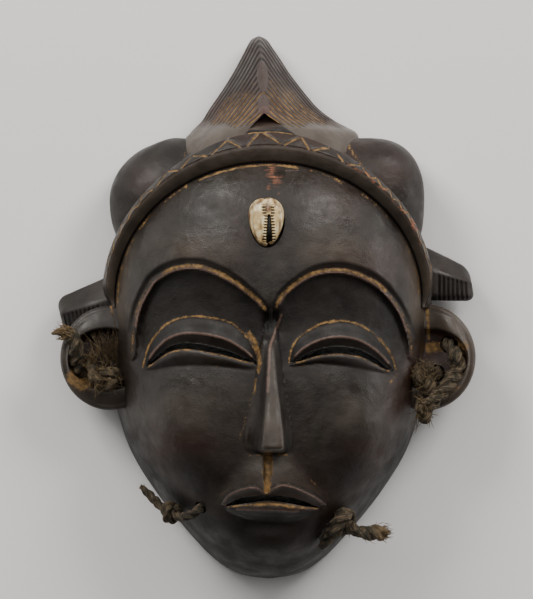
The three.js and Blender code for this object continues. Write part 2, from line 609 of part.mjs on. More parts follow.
// Cords
const cordCurve = (name) =>
  new THREE.CatmullRomCurve3(CORDS[name].route.map((p) => new THREE.Vector3(...p)), false, "centripetal");

// A tube along a stretch of a cord's route, measured in millimetres from its start
function cordTube(name, diameter, from = 0, to = Infinity) {
  const whole = cordCurve(name);
  const length = whole.getLength();
  const end = Math.min(to, length);
  const steps = Math.max(3, Math.round((end - from) / diameter));
  const along = Array.from({ length: steps + 1 }, (_, i) => whole.getPointAt(mix(from, end, i / steps) / length));
  const extrudePath = new THREE.CatmullRomCurve3(along, false, "centripetal");
  const round = ellipse(0, 0, diameter / 2, diameter / 2, CORD_SIDES);
  const shape = new THREE.Shape(round.map(([x, y]) => new THREE.Vector2(x, y)));
  return fromGeometry(new THREE.ExtrudeGeometry(shape, { steps, extrudePath, bevelEnabled: false }));
}

// A ring of cord round a cord
function turnOfCord([name, along, bore, outer, length]) {
  const curve = cordCurve(name);
  const u = along / curve.getLength();
  const [inner, rim, half] = [bore / 2, outer / 2, length / 2];
  const shoulder = rim * TURN_SHOULDER;
  const profile = [[inner, -half], [shoulder, -half], [rim, 0], [shoulder, half], [inner, half], [inner, -half]];
  const ring = new THREE.LatheGeometry(profile.map(([x, y]) => new THREE.Vector2(x, y)), 10);
  ring.applyQuaternion(new THREE.Quaternion().setFromUnitVectors(new THREE.Vector3(0, 1, 0), curve.getTangentAt(u)));
  const middle = curve.getPointAt(u);
  return fromGeometry(ring.translate(middle.x, middle.y, middle.z));
}

const cordBores = () => Object.entries(CORDS).flatMap(([name, { diameter, bored }]) =>
  bored.map(([from, to]) => cordTube(name, diameter + CORD_PLAY, from, to)));

// Cowrie: an egg-shaped shell with its opening as a groove down the front
const cowrieBody = (margin) => ball([COWRIE[0], COWRIE[1], COWRIE[2]], COWRIE_HALF.map((half) => half + margin),
  COWRIE_POWER, COWRIE_EGG, 16, 8);
const cowrieSlit = () => scratch(...COWRIE_SLIT, [2.2, 2.4], [0, 0, 1]);

// The whole mask, built up and then cut
const lobe = ([middle, half]) => ball(middle, half, LOBE_POWER, 0, 18, 11);
const lobeHollow = ([[x, y, z], half]) =>
  ball([x, y, z - 4], half.map((h, c) => h - LOBE_WALL[c]), LOBE_POWER, 0, 12, 7);
const shell = allOf([dome(25, 26), ...LOBES.map(lobe), crest(), band(), ...TRESSES.map(tress), ...EARS.map(ear)]);
const aboveRim = upright([[-140, -150], [140, -150], [140, 150], [-140, 150]], [[0, 0], [120, 0]]);
const mask = shell.intersect(aboveRim)
  .subtract(allOf(SIDES.map(socket)))
  .add(allOf([...SIDES.map(eye), nose(), muzzle(), lip(LIP_TOP, SLIT_TOP, UPPER_LIP_HEIGHTS),
    lip(SLIT_FLOOR, LIP_FLOOR, LOWER_LIP_HEIGHTS)]))
  .subtract(allOf([hollowDome(12, 12), crestHollow(), ...LOBES.map(lobeHollow)]))
  .subtract(allOf([...SIDES.map(eyeSlit), mouthSlit(), philtrum(), upright(RECESS, [[RECESS_FLOOR, 0], [90, 0]])]))
  .subtract(allOf([crestGrooves(), ...TRESSES.map(tressRibs)]))
  .subtract(allOf([...cordBores(), earHole(), cowrieBody(2 * GAP)]));

const group = new THREE.Group();
export default group;

function piece(name, solid, look) {
  const mesh = new THREE.Mesh(geometryOf(solid), new THREE.MeshStandardMaterial({ ...look, metalness: 0 }));
  mesh.name = name;
  group.add(mesh);
}

piece("mask", mask, CLAY);
piece("cowrie", cowrieBody(0).subtract(cowrieSlit()), SHELL);
for (const [name, { diameter }] of Object.entries(CORDS)) piece(name, cordTube(name, diameter), FIBRE);
for (const [name, turn] of Object.entries(TURNS)) piece(name, turnOfCord(turn), FIBRE);
for (const [name, [middle, half]] of Object.entries(LUMPS)) piece(name, ball(middle, half, 2, 0, 9, 5), FIBRE);
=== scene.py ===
"""A hollow terracotta face mask of a West African kind, lying face up on its back rim.

The face looks along +Z and the crest points along +Y. Sizes in this script are in millimetres,
and each mesh is brought to metres when it is made.
"""

import math

import bmesh
import bpy
import numpy as np
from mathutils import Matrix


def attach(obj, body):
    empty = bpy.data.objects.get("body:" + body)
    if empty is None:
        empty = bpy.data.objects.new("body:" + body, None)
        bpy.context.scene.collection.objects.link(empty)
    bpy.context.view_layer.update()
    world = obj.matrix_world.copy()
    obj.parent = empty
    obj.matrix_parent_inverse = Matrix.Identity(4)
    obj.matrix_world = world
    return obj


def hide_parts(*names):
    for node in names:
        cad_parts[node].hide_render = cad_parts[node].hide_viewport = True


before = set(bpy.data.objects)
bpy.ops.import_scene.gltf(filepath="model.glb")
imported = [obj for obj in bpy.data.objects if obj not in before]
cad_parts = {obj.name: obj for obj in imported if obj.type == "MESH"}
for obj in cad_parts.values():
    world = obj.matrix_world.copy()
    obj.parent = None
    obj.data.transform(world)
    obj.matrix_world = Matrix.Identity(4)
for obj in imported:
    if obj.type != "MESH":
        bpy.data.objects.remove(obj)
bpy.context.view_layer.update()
MM = 0.001

# Camera: straight over the mask, as in a catalogue picture of a mask. The picture is 599 pixels
# high, of 0.49 mm each at the level of the ears.
PICTURE_HEIGHT = 599  # pixels
MM_PER_PIXEL = 0.49  # at the level of the ears
CAMERA_AT = (-0.98, 4.2, 2400)
EARS_LEVEL = 30
SENSOR_HEIGHT = 24

camera_data = bpy.data.cameras.new("camera")
camera_data.sensor_fit = "VERTICAL"
camera_data.sensor_height = SENSOR_HEIGHT
camera_data.lens = SENSOR_HEIGHT * (CAMERA_AT[2] - EARS_LEVEL) / (PICTURE_HEIGHT * MM_PER_PIXEL)
camera = bpy.data.objects.new("camera", camera_data)
camera.location = [c * MM for c in CAMERA_AT]
bpy.context.collection.objects.link(camera)
bpy.context.scene.camera = camera


# Floor and light: a plain pale floor and plain soft lights from the crest's side and from
# overhead, with a low one at each side, in a pale room.
FLOOR_HALF = 2.5  # metres
FLOOR_COLOUR, FLOOR_ROUGHNESS = (0.95, 0.95, 0.95, 1), 0.9
LIGHTS = [  # name, place, width, depth and power, in metres and watts
    ("key", (-0.1, 1.25, 1.75), 3.0, 2.0, 18),
    ("over", (0, 0.1, 2.9), 1.6, 1.6, 12),
    ("upper_left", (-1.1, 1.3, 1.2), 0.8, 0.8, 28.5),
    ("upper_right", (1.1, 1.3, 1.2), 0.8, 0.8, 25),
    ("left", (-1.8, 0.3, 0.2), 1.4, 0.3, 4.5),
    ("right", (1.8, 0.4, 0.2), 1.4, 0.3, 9.5),
]
AIMED_AT = (0, 0, 0.03)
LIGHT_COLOUR = (1, 0.965, 0.925)
ROOM_COLOUR, ROOM_STRENGTH = (0.92, 0.94, 1, 1), 0.03


def principled(name, **constants):
    """A new material, with its nodes, its links and its main shader"""
    material = bpy.data.materials.new(name)
    material.use_nodes = True
    nodes, links = material.node_tree.nodes, material.node_tree.links
    shader = nodes["Principled BSDF"]
    for socket, value in constants.items():
        shader.inputs[socket.replace("_", " ")].default_value = value
    return material, nodes, links, shader


floor_mesh = bpy.data.meshes.new("floor")
corners = [(u * FLOOR_HALF, v * FLOOR_HALF, 0) for u, v in ((-1, -1), (1, -1), (1, 1), (-1, 1))]
floor_mesh.from_pydata(corners, [], [(0, 1, 2, 3)])
floor = bpy.data.objects.new("floor", floor_mesh)
bpy.context.collection.objects.link(floor)
floor_mesh.materials.append(principled("floor_paint", Base_Color=FLOOR_COLOUR, Roughness=FLOOR_ROUGHNESS)[0])

for name, place, width, depth, power in LIGHTS:
    lamp = bpy.data.lights.new(name, "AREA")
    lamp.shape, lamp.size, lamp.size_y, lamp.energy = "RECTANGLE", width, depth, power
    light = bpy.data.objects.new(name, lamp)
    light.location = place
    lamp.color = LIGHT_COLOUR
    aim = np.array(place) - np.array(AIMED_AT)
    light.rotation_euler = (
        math.atan2(math.hypot(aim[0], aim[1]), aim[2]), 0, math.atan2(aim[1], aim[0]) + math.pi / 2)
    bpy.context.collection.objects.link(light)

room = bpy.data.worlds.new("room")
bpy.context.scene.world = room
room.use_nodes = True
room.node_tree.nodes["Background"].inputs["Color"].default_value = ROOM_COLOUR
room.node_tree.nodes["Background"].inputs["Strength"].default_value = ROOM_STRENGTH


# Cords: four short three-strand cords of twisted plant fibre, gone dark with age.
# They run through holes in the ears and the jaw and are held by knots and frayed ends.
ROUTES = {  # from the hidden end behind the clay to the end that shows
    "cord_ear_right": (6.4, [
        [82.4, -32, 27.7], [82.4, -32, 22], [82.4, -31.6, 15.5], [83, -29, 9.2], [84.8, -24.6, 7.2],
        [86.8, -20, 9.2], [87.6, -18, 15.5], [87.8, -17.6, 22], [89, -18.6, 28], [91.6, -22.8, 31.2],
        [93, -29.4, 31.4], [89.4, -35, 34.8], [85, -40.6, 38.4], [80, -45.6, 38.8], [76.4, -51.4, 38]]),
    "cord_ear_left": (6.4, [
        [-82.6, -34.2, 27.7], [-82.6, -34.2, 22], [-82.8, -34.2, 15.5], [-84.4, -33.8, 9.2], [-88, -33, 7.4],
        [-91.4, -32.2, 9.2], [-92.6, -31.8, 15.5], [-92.6, -31.6, 22], [-92.8, -30, 28.4],
        [-93.6, -24.5, 33.4], [-94.2, -18.4, 37.7], [-96.6, -13.2, 38.6], [-101, -11.6, 38.4],
        [-106, -12.4, 37.6]]),
    "cord_jaw_left": (4.8, [
        [-19.1, -83.6, 37.5], [-25, -89.1, 43.4], [-32, -95.8, 50.5], [-34.9, -98.5, 53.4],
        [-39.5, -100.8, 50.6], [-43.5, -101.5, 43.9], [-47, -100, 41], [-50.5, -98.5, 38.1],
        [-57, -92.5, 34.2], [-62.5, -87.2, 31.5]]),
    "cord_jaw_right": (6.6, [
        [18.5, -87.7, 33.6], [25.7, -94, 39.1], [34.1, -101.4, 45.7], [39.6, -106.2, 50.2],
        [44.6, -108.6, 52.2], [50.4, -109.2, 50.8], [56.6, -109.2, 48.4]]),
    "cord_jaw_right_end": (6.6, [[29.7, -110.3, 48.1], [27.7, -113.3, 46.9], [25.4, -116.6, 45]]),
}
SWELLS = {  # how thick each cord is along its way, as shares of its diameter
    "cord_jaw_left": [(0, 1), (0.66, 1), (0.8, 1.05), (0.95, 0.8), (1, 0.45)],
    "cord_jaw_right": [(0, 1), (0.7, 1), (0.9, 1.2), (1, 1.16)],
    "cord_jaw_right_end": [(0, 1), (0.5, 0.9), (1, 0.45)],
    "cord_ear_left": [(0, 1), (0.55, 1), (0.65, 1.15), (0.85, 1.2), (0.92, 0.95), (0.96, 0.6), (1, 0.2)],
    "cord_ear_right": [(0, 1), (0.55, 1), (0.62, 1.25), (0.69, 1.02), (0.78, 1.34), (0.86, 1.06),
                       (0.93, 1.25), (1, 0.9)],
}
FRAYED = ("cord_jaw_right", "cord_ear_left")
TURNS = {  # at the jaw: the cord that they go round, how far along it, radius, diameter, turns and length
    "knot_jaw_left": ("cord_jaw_left", 46.5, 3.2, 5.2, 1.4, 5.4),
    "stop_jaw_left": ("cord_jaw_left", 6, 3.0, 4.2, 1.2, 2.4),
    "knot_jaw_right": ("cord_jaw_right", 28.5, 4.6, 6.4, 1.4, 3.6),
    "stop_jaw_right": ("cord_jaw_right", 6, 3.6, 5.6, 1.2, 2.4),
}
STRAND_OUT, STRAND_HALF = 0.235, 0.265  # of each of the three strands, as shares of the cord's diameter
LAY = 3.0  # diameters to one whole twist
RING_POINTS, RING_SPACING = 36, 0.42
HAIR_RINGS, HAIR_SIDES = 6, 3  # of one loose fibre
rng = np.random.default_rng(7)


def rail(points, steps):
    """Even steps along a smooth curve through points"""
    p = np.array(points, float)
    p = np.vstack([2 * p[0] - p[1], p, 2 * p[-1] - p[-2]])
    gaps = np.sqrt(np.maximum(np.linalg.norm(np.diff(p, axis=0), axis=1), 1e-9))
    u = np.linspace(0, 1, 33)[:, None]
    fine = [p[1:2]]
    for i in range(1, len(p) - 2):
        (d0, d1, d2), (o, a, b, q) = gaps[i - 1:i + 2], p[i - 1:i + 3]
        start = d1 * ((a - o) / d0 - (b - o) / (d0 + d1) + (b - a) / d1)
        end = d1 * ((b - a) / d1 - (q - a) / (d1 + d2) + (q - b) / d2)
        fine.append(((2 * u**3 - 3 * u**2 + 1) * a + (u**3 - 2 * u**2 + u) * start
                     + (3 * u**2 - 2 * u**3) * b + (u**3 - u**2) * end)[1:])
    fine = np.vstack(fine)
    length = np.append(0, np.cumsum(np.linalg.norm(np.diff(fine, axis=0), axis=1)))
    even = np.linspace(0, length[-1], steps + 1)
    return np.stack([np.interp(even, length, fine[:, c]) for c in range(fine.shape[1])], 1)


def run(points):
    """How far along a line of points each of them lies"""
    return np.append(0, np.cumsum(np.linalg.norm(np.diff(points, axis=0), axis=1)))


def stand(points):
    """Two directions across the line at each point, without any twist of their own"""
    along = np.gradient(points, axis=0)
    along /= np.linalg.norm(along, axis=1)[:, None]
    first = np.cross(along[0], [0, 0, 1] if abs(along[0][2]) < 0.9 else [1, 0, 0])
    sides = []
    for step in along:
        first = first - step * first.dot(step)
        first /= np.linalg.norm(first)
        sides.append(first)
    sides = np.array(sides)
    return sides, np.cross(along, sides)


def closed(name, rings):
    """A closed mesh object through rings of equal point counts, with a cap over each end"""
    rings = np.asarray(rings, float)
    at = np.arange(rings.shape[0] * rings.shape[1]).reshape(rings.shape[:2])
    quads = np.stack([at[:-1], np.roll(at[:-1], -1, 1), np.roll(at[1:], -1, 1), at[1:]], -1).reshape(-1, 4)
    mesh = bpy.data.meshes.new(name)
    mesh.from_pydata((rings.reshape(-1, 3) * MM).tolist(), [],
                     quads.tolist() + [at[0][::-1].tolist(), at[-1].tolist()])
    turned = bmesh.new()
    turned.from_mesh(mesh)
    if turned.calc_volume(signed=True) < 0:
        bmesh.ops.reverse_faces(turned, faces=turned.faces)
    turned.to_mesh(mesh)
    turned.free()
    piece = bpy.data.objects.new(name, mesh)
    bpy.context.collection.objects.link(piece)
    return piece


def rope_rings(route, diameter, swell=None):
    """Rings of a three-strand cord along a route, each strand rounded and wound round the others"""
    steps = max(12, int(run(np.array(route))[-1] / RING_SPACING))
    line = rail(route, steps)
    sides, ups = stand(line)
    way = run(line)
    angle = np.linspace(0, 2 * np.pi, RING_POINTS, endpoint=False)
    turn = (angle[None] - 2 * np.pi * way[:, None] / (LAY * diameter)) % (2 * np.pi / 3) - np.pi / 3
    out = STRAND_OUT * np.cos(turn) + np.sqrt(STRAND_HALF**2 - (STRAND_OUT * np.sin(turn)) ** 2)
    yarn = 0.012 * np.sin(9 * angle[None] + 2 * np.pi * way[:, None] / (0.45 * diameter))
    uneven = 0.035 * np.sin(way / 2.3)[:, None] * np.sin(2 * angle + 1)[None]
    uneven = uneven + 0.03 * np.sin(way / 1.1 + 2)[:, None] * np.sin(3 * angle + 0.5)[None]
    uneven = uneven + 0.025 * np.sin(way / 3.1)[:, None]
    radius = diameter * (out + yarn + uneven)
    if swell is not None:
        radius = radius * np.interp(way / way[-1], *zip(*swell))[:, None]
    around = np.cos(angle)[None, :, None] * sides[:, None] + np.sin(angle)[None, :, None] * ups[:, None]
    return line[:, None] + radius[..., None] * around, line


def fibres(name, roots, aims, lengths, thickness, bend=0.5):
    """Loose fibres as thin bent spikes: where each starts, where it points, and how long it is"""
    points, faces = [], []
    for root, aim, length in zip(roots, aims, lengths):
        aim = np.array(aim, float) / np.linalg.norm(aim)
        drift = rng.normal(size=3) * bend
        shares = np.linspace(0, 1, HAIR_RINGS)
        line = np.array([root + length * (t * aim + t * t * drift * 0.5) for t in shares])
        sides, ups = stand(line)
        half = thickness * rng.uniform(0.6, 1.2)
        base = len(points)
        for k in range(HAIR_RINGS):
            r = half * (1 - 0.75 * (k / (HAIR_RINGS - 1)) ** 2)
            points += [line[k] + r * (math.cos(a) * sides[k] + math.sin(a) * ups[k])
                       for a in (0, 2 * math.pi / 3, 4 * math.pi / 3)]
        for k in range(HAIR_RINGS - 1):
            for j in range(HAIR_SIDES):
                a = base + HAIR_SIDES * k + j
                b = base + HAIR_SIDES * k + (j + 1) % HAIR_SIDES
                faces.append((a, b, b + HAIR_SIDES, a + HAIR_SIDES))
        last = base + HAIR_SIDES * (HAIR_RINGS - 1)
        faces += [(base + 2, base + 1, base), (last, last + 1, last + 2)]
    mesh = bpy.data.meshes.new(name)
    mesh.from_pydata((np.array(points) * MM).tolist(), [], faces)
    piece = bpy.data.objects.new(name, mesh)
    bpy.context.collection.objects.link(piece)
    return piece


def blend(nodes, links, share, first, second):
    """A mix of two colours, each a link or a fixed colour, by a share that is a link or a number"""
    node = nodes.new("ShaderNodeMix")
    node.data_type = "RGBA"
    for socket, value in (("Factor", share), ("A", first), ("B", second)):
        slot = [s for s in node.inputs if s.name == socket and (s.type == "RGBA" or socket == "Factor")][0]
        if isinstance(value, (tuple, float, int)):
            slot.default_value = value
        else:
            links.new(value, slot)
    return [s for s in node.outputs if s.type == "RGBA"][0]


def spots(nodes, links, scale, detail=4, low=0.35, high=0.65, stretch=None, place=None):
    """Cloudy noise through the object, from 0 at the low level to 1 at the high one"""
    place = place or nodes.new("ShaderNodeTexCoord").outputs["Object"]
    if stretch:
        mapping = nodes.new("ShaderNodeMapping")
        mapping.inputs["Scale"].default_value = stretch
        links.new(place, mapping.inputs["Vector"])
        place = mapping.outputs["Vector"]
    noise = nodes.new("ShaderNodeTexNoise")
    noise.inputs["Scale"].default_value = scale
    noise.inputs["Detail"].default_value = detail
    links.new(place, noise.inputs["Vector"])
    spread = nodes.new("ShaderNodeMapRange")
    spread.interpolation_type = "SMOOTHSTEP"
    spread.inputs["From Min"].default_value = low
    spread.inputs["From Max"].default_value = high
    links.new(noise.outputs["Fac"], spread.inputs["Value"])
    return spread.outputs["Result"]


def fibre_material():
    """Dark twisted plant fibre, straw-coloured where it is broken"""
    material, nodes, links, shader = principled("plant_fibre_dark", Roughness=0.88)
    straw, lie = nodes.new("ShaderNodeAttribute"), nodes.new("ShaderNodeAttribute")
    straw.attribute_name, lie.attribute_name = "straw", "lie"
    hairs = spots(nodes, links, 7, 3, 0.36, 0.64, place=lie.outputs["Vector"])
    fine_hairs = spots(nodes, links, 19, 2, 0.3, 0.7, place=lie.outputs["Vector"])
    dark = blend(nodes, links, hairs, (0.024, 0.019, 0.012, 1), (0.200, 0.148, 0.088, 1))
    dark = blend(nodes, links, spots(nodes, links, 300, 4, 0.42, 0.62), dark, (0.030, 0.026, 0.015, 1))
    pale = blend(nodes, links, fine_hairs, (0.10, 0.060, 0.026, 1), (0.50, 0.34, 0.15, 1))
    links.new(blend(nodes, links, straw.outputs["Fac"], dark, pale), shader.inputs["Base Color"])
    bump = nodes.new("ShaderNodeBump")
    bump.inputs["Strength"].default_value = 0.9
    bump.inputs["Distance"].default_value = 0.0008
    links.new(blend(nodes, links, 0.4, hairs, fine_hairs), bump.inputs["Height"])
    links.new(bump.outputs["Normal"], shader.inputs["Normal"])
    return material


FIBRE = fibre_material()


def note(piece, name, values):
    """Keep one number for each point of a piece, for its material"""
    kept = piece.data.attributes.new(name, "FLOAT", "POINT")
    kept.data.foreach_set("value", np.asarray(values, np.float32))


def places(piece):
    """Where the points of a piece lie, in millimetres"""
    flat = np.empty(3 * len(piece.data.vertices), np.float32)
    piece.data.vertices.foreach_get("co", flat)
    return flat.reshape(-1, 3).astype(float) / MM


def cordage(piece, straw, *nodes, line=None, diameter=1.0):
    """The finish and body of a piece of cord, and how its fibres lie: round its line, and along it"""
    piece.data.materials.append(FIBRE)
    note(piece, "straw", np.broadcast_to(straw, len(piece.data.vertices)))
    lie = places(piece) * 0.3
    if line is not None:
        way = run(line)[:, None]
        angle = np.linspace(0, 2 * np.pi, RING_POINTS, endpoint=False)[None]
        angle = angle - 2 * np.pi * way / (LAY * diameter)
        lie = np.stack([np.cos(angle), np.sin(angle), 0.035 * way + 0 * angle], -1).reshape(-1, 3)
    kept = piece.data.attributes.new("lie", "FLOAT_VECTOR", "POINT")
    kept.data.foreach_set("vector", lie.astype(np.float32).ravel())
    piece.data.shade_smooth()
    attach(piece, "root")
    if nodes:
        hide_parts(*nodes)
    return piece


def near_end(piece, end, reach):
    """How near each point of a piece is to an end: 1 at it, 0 beyond a reach"""
    return np.clip(1 - np.linalg.norm(places(piece) - np.array(end), axis=1) / reach, 0, 1)


def cord_piece(name):
    """A whole cord along its route, straw-coloured where its end is frayed"""
    diameter, route = ROUTES[name]
    rings, line = rope_rings(route, diameter, SWELLS[name])
    piece = closed(name + "_rope", rings)
    straw = 0.75 * near_end(piece, line[-1], 9) if name in FRAYED else 0
    return cordage(piece, straw, name, line=line, diameter=diameter), line


def frayed_end(name, line, diameter, count, length, spread=0.35, straw=0.8):
    """Fibres that stand out of the cut end of a cord"""
    ahead = line[-1] - line[-4]
    ahead /= np.linalg.norm(ahead)
    roots = line[-1] - 2 * ahead + rng.normal(size=(count, 3)) * diameter * 0.2
    aims = ahead + rng.normal(size=(count, 3)) * spread
    return cordage(fibres(name, roots, aims, 2 + length * rng.uniform(0.5, 1, count), 0.3), straw)


def turns_on(node, route_name, along, radius, diameter, turns, length):
    """Turns of cord round a cord, centred a given way along its route"""
    line = rail(ROUTES[route_name][1], 400)
    sides, ups = stand(line)
    way = run(line)
    t = np.linspace(0, 1, 60)
    s = along + length * (t - 0.5)
    i = np.searchsorted(way, s).clip(0, len(way) - 1)
    angle = 2 * np.pi * turns * t
    path = line[i] + radius * (np.cos(angle)[:, None] * sides[i] + np.sin(angle)[:, None] * ups[i])
    rings, line = rope_rings(path[::4], diameter, [(0, 0.5), (0.12, 1), (0.88, 1), (1, 0.5)])
    return cordage(closed(node + "_turns", rings), 0.05, node, line=line, diameter=diameter)


ropes, lines = {}, {}
for name in SWELLS:
    ropes[name], lines[name] = cord_piece(name)


def strand(name, points, diameter, straw, node, swell=((0, 0.5), (0.15, 1), (0.7, 0.95), (1, 0.3))):
    """A stretch of loose cord from a knot, tapered at its ends"""
    rings, line = rope_rings(points, diameter, swell)
    piece = closed(name, rings)
    return cordage(piece, straw * near_end(piece, line[-1], 5), node, line=line, diameter=diameter)


wrap_jaw_right = strand(
    "cord_jaw_right_wrap", [[40, -98.6, 52.2], [35.5, -101.4, 53], [32.2, -106.4, 51.6], [30.2, -113, 47.6]],
    7.6, 0.35, "cord_jaw_right")
tip_jaw_right = strand(
    "cord_jaw_right_tip", [[31.2, -104, 51.6], [28.6, -108.4, 50.2], [25.2, -116, 45.4]],
    4.6, 0.8, "cord_jaw_right_end")
turns = {node: turns_on(node, *sizes) for node, sizes in TURNS.items()}


def wisps(name, roots, aims, lengths, thickness, bend, straw):
    """Loose fibres as a piece of their own, each of a shade between two, from dark to straw"""
    loose = fibres(name, roots, aims, lengths, thickness, bend)
    return cordage(loose, rng.uniform(*straw, len(lengths)).repeat(HAIR_RINGS * HAIR_SIDES))


def frayed_lump(name, middle, half, count, node, begin=0.2):
    """A knot of old cord drawn tight into a lump, with loose fibres lying over it"""
    t = np.linspace(begin, begin + 2 * np.pi, 40)[:-1]
    thick = 0.43 * min(half)
    trefoil = np.stack([(np.sin(t) + 2 * np.sin(2 * t)) / 2.6, (np.cos(t) - 2 * np.cos(2 * t)) / 2.6,
                        -0.9 * np.sin(3 * t)], 1)
    path = np.array(middle) + (np.array(half) - thick) * trefoil
    rings, line = rope_rings(path, 2 * thick, [(0, 0.6), (0.08, 1), (0.5, 1.08), (0.92, 1), (1, 0.6)])
    lump = cordage(closed(name + "_turns", rings), 0.12, node, line=line, diameter=2 * thick)
    out = rng.normal(size=(count, 3))
    out[:, 2] = np.abs(out[:, 2])
    out /= np.linalg.norm(out, axis=1)[:, None]
    roots = np.array(middle) + out * np.array(half) * 0.84
    aims = np.cross(out, rng.normal(size=(count, 3))) + out * 0.25
    return lump, wisps(name + "_fibres", roots, aims, rng.uniform(1.6, 5.4, count), 0.26, 1.1, (0, 0.8))


knot_ear_left, fibres_ear_left = frayed_lump(
    "knot_ear_left", [-79.8, -34.2, 34.6], [8.4, 6.4, 6.6], 190, "knot_ear_left")
knot_ear_right, fibres_ear_right = frayed_lump(
    "knot_ear_right", [76.8, -33.6, 34.8], [6.4, 8.2, 6.6], 190, "knot_ear_right", 1.4)
knot_ear_right_low, fibres_ear_right_low = frayed_lump(
    "cord_ear_right_low", [76.2, -49.4, 37.6], [4.9, 6.6, 5], 90, "cord_ear_right", 0.8)
loop_ear_left = strand(
    "knot_ear_left_loop", [[-90, -24.6, 31], [-87.4, -27.6, 33], [-85.4, -31.4, 35.4], [-83.4, -35.6, 36.6]],
    5.2, 0.3, "knot_ear_left")
fray_ear_left = frayed_end("cord_ear_left_fray", lines["cord_ear_left"][:-16], 7.4, 190, 3.0, 0.3, 0.8)


def tuft(name, middle, spread, aim, stray, lengths, count, thickness, bend, straw):
    """Loose fibres about one place and one direction"""
    roots = np.array(middle) + rng.normal(size=(count, 3)) * spread
    aims = np.array(aim) + rng.normal(size=(count, 3)) * stray
    return wisps(name, roots, aims, rng.uniform(*lengths, count), thickness, bend, straw)


tuft_ear_left = tuft("knot_ear_left_tuft", [-87, -26.4, 33.6], [1.8, 1.2, 0.8], [-0.35, 0.8, 0.5], 0.5,
                     (2.4, 5.4), 60, 0.3, 0.8, (0.3, 1))


def fuzz_along(name, line, diameter, count, first=0.5):
    """Broken fibres that lie along a worn cord, from a share of its length on"""
    at = rng.integers(int(first * len(line)), int(0.88 * len(line)), count)
    sides, ups = stand(line)
    around = rng.uniform(0, 2 * np.pi, count)[:, None]
    out = np.cos(around) * sides[at] + np.sin(around) * ups[at]
    lie = line[at + 1] - line[at] + rng.normal(size=(count, 3)) * 0.28 + 0.1 * out
    roots = line[at] + out * diameter * 0.42
    return wisps(name, roots, lie, rng.uniform(1.4, 3.2, count), 0.22, 0.8, (0, 0.6))


fuzz_ear_left = fuzz_along("cord_ear_left_fuzz", lines["cord_ear_left"], 6.8, 130, 0.6)
fuzz_ear_right = fuzz_along("cord_ear_right_fuzz", lines["cord_ear_right"], 7.4, 190, 0.6)
fuzz_jaw_right = fuzz_along("cord_jaw_right_fuzz", lines["cord_jaw_right"], 6.8, 60, 0.6)
fray_ear_right = frayed_end("cord_ear_right_fray", lines["cord_ear_right"], 6.4, 30, 2, 0.5, 0.1)
fray_jaw_right = frayed_end("cord_jaw_right_fray", lines["cord_jaw_right"], 8.4, 120, 0.8, 0.16, 0.7)
fray_jaw_left = frayed_end("cord_jaw_left_fray", lines["cord_jaw_left"], 2.4, 12, 0.6, 0.2, 0.4)
hair_ear_left = tuft("knot_ear_left_hair", [-77.6, -24.6, 31], [2.9, 2.2, 1.0], [0, 1, 0.12], 0.26,
                     (6, 15), 110, 0.24, 0.6, (0, 0.7))

for name, leaves, stiffness, others in (
        ("cord_jaw_left", [-33.2, -96.9, 51.7], "medium",
         [turns["knot_jaw_left"], turns["stop_jaw_left"], fray_jaw_left]),
        ("cord_jaw_right", [34.1, -101.4, 45.7], "medium",
         [turns["knot_jaw_right"], turns["stop_jaw_right"], ropes["cord_jaw_right_end"], wrap_jaw_right,
          tip_jaw_right, fray_jaw_right, fuzz_jaw_right]),
        ("cord_ear_left", [-82.6, -34.2, 27.7], "limp",
         [knot_ear_left, fibres_ear_left, loop_ear_left, tuft_ear_left, hair_ear_left, fray_ear_left,
          fuzz_ear_left]),
        ("cord_ear_right", [82.4, -32, 27.7], "limp",
         [knot_ear_right, fibres_ear_right, knot_ear_right_low, fibres_ear_right_low, fray_ear_right,
          fuzz_ear_right])):
    diameter, route = ROUTES[name]
    path = rail(route, 39)
    length = run(rail(route, 400))[-1]


# Face: the front of one fired shell of dark, oiled terracotta, modelled by hand and burnished.
# Everything on it is of the same clay. Eyes and mouth are cut right through to the hollow.
SECTION_POWER = 2.4
HALF_WIDTHS = [
    [92, 0], [89, 22], [80, 43], [66, 60], [45, 73], [20, 79], [-5, 80], [-28, 79], [-50, 75],
    [-70, 68.5], [-90, 56.5], [-110, 40.5], [-124, 27], [-131, 16], [-134.4, 0]]
DEPTHS = [
    [92, 0], [89, 28], [83, 44], [74, 57.5], [60, 69], [42, 76], [22, 78.5], [0, 78], [-25, 76],
    [-50, 73.5], [-75, 70], [-95, 64.5], [-110, 56.5], [-122, 45], [-130, 30], [-134.4, 0]]
CROWN, CHIN = 91.5, -133.9
SWELLINGS = [[-48, -60, 5.6, 19, 21], [50, -62, 5.6, 19, 21], [1, -116, 2.5, 18, 9], [1, -104, -2, 16, 5]]
FACE_X = 1.2  # the features stand a little to the right of the shell's axis
BROWS = [
    [[0.8, 0.8], [3.5, 4.3], [9.8, 10.2], [16.1, 15.3], [23.9, 20.4], [31, 23.5], [38.8, 24.6], [47.5, 23.5],
     [54.5, 20.4], [60.2, 16.1], [64.4, 9.1], [67.5, 2], [69.2, -5], [70, -13], [70.2, -22]],
    [[0.2, 1.2], [3.5, 7.5], [9.8, 13.7], [16.1, 18.5], [23.9, 21.6], [32.6, 22.5], [40.4, 21.4], [49, 18.1],
     [55.6, 13.7], [61.3, 7.5], [66.3, -0.4], [69.5, -9.1], [71.1, -17.2], [71.6, -23]]]
LEDGE_WIDTHS = [[0, 0.6], [0.15, 0.72], [0.35, 1.05], [0.55, 1.1], [0.8, 0.85], [1, 0.7]]
SOCKET_FLOOR = [[3, -42], [16, -46], [34, -46], [50, -44], [64, -37]]
LEDGE = [  # depth by the distance from the brow
    [0, 0], [1.1, 0.7], [2.3, 2.0], [3.2, 2.15], [4.4, 1.95], [5.0, 1.9], [5.4, 2.2], [6.4, 4.0]]
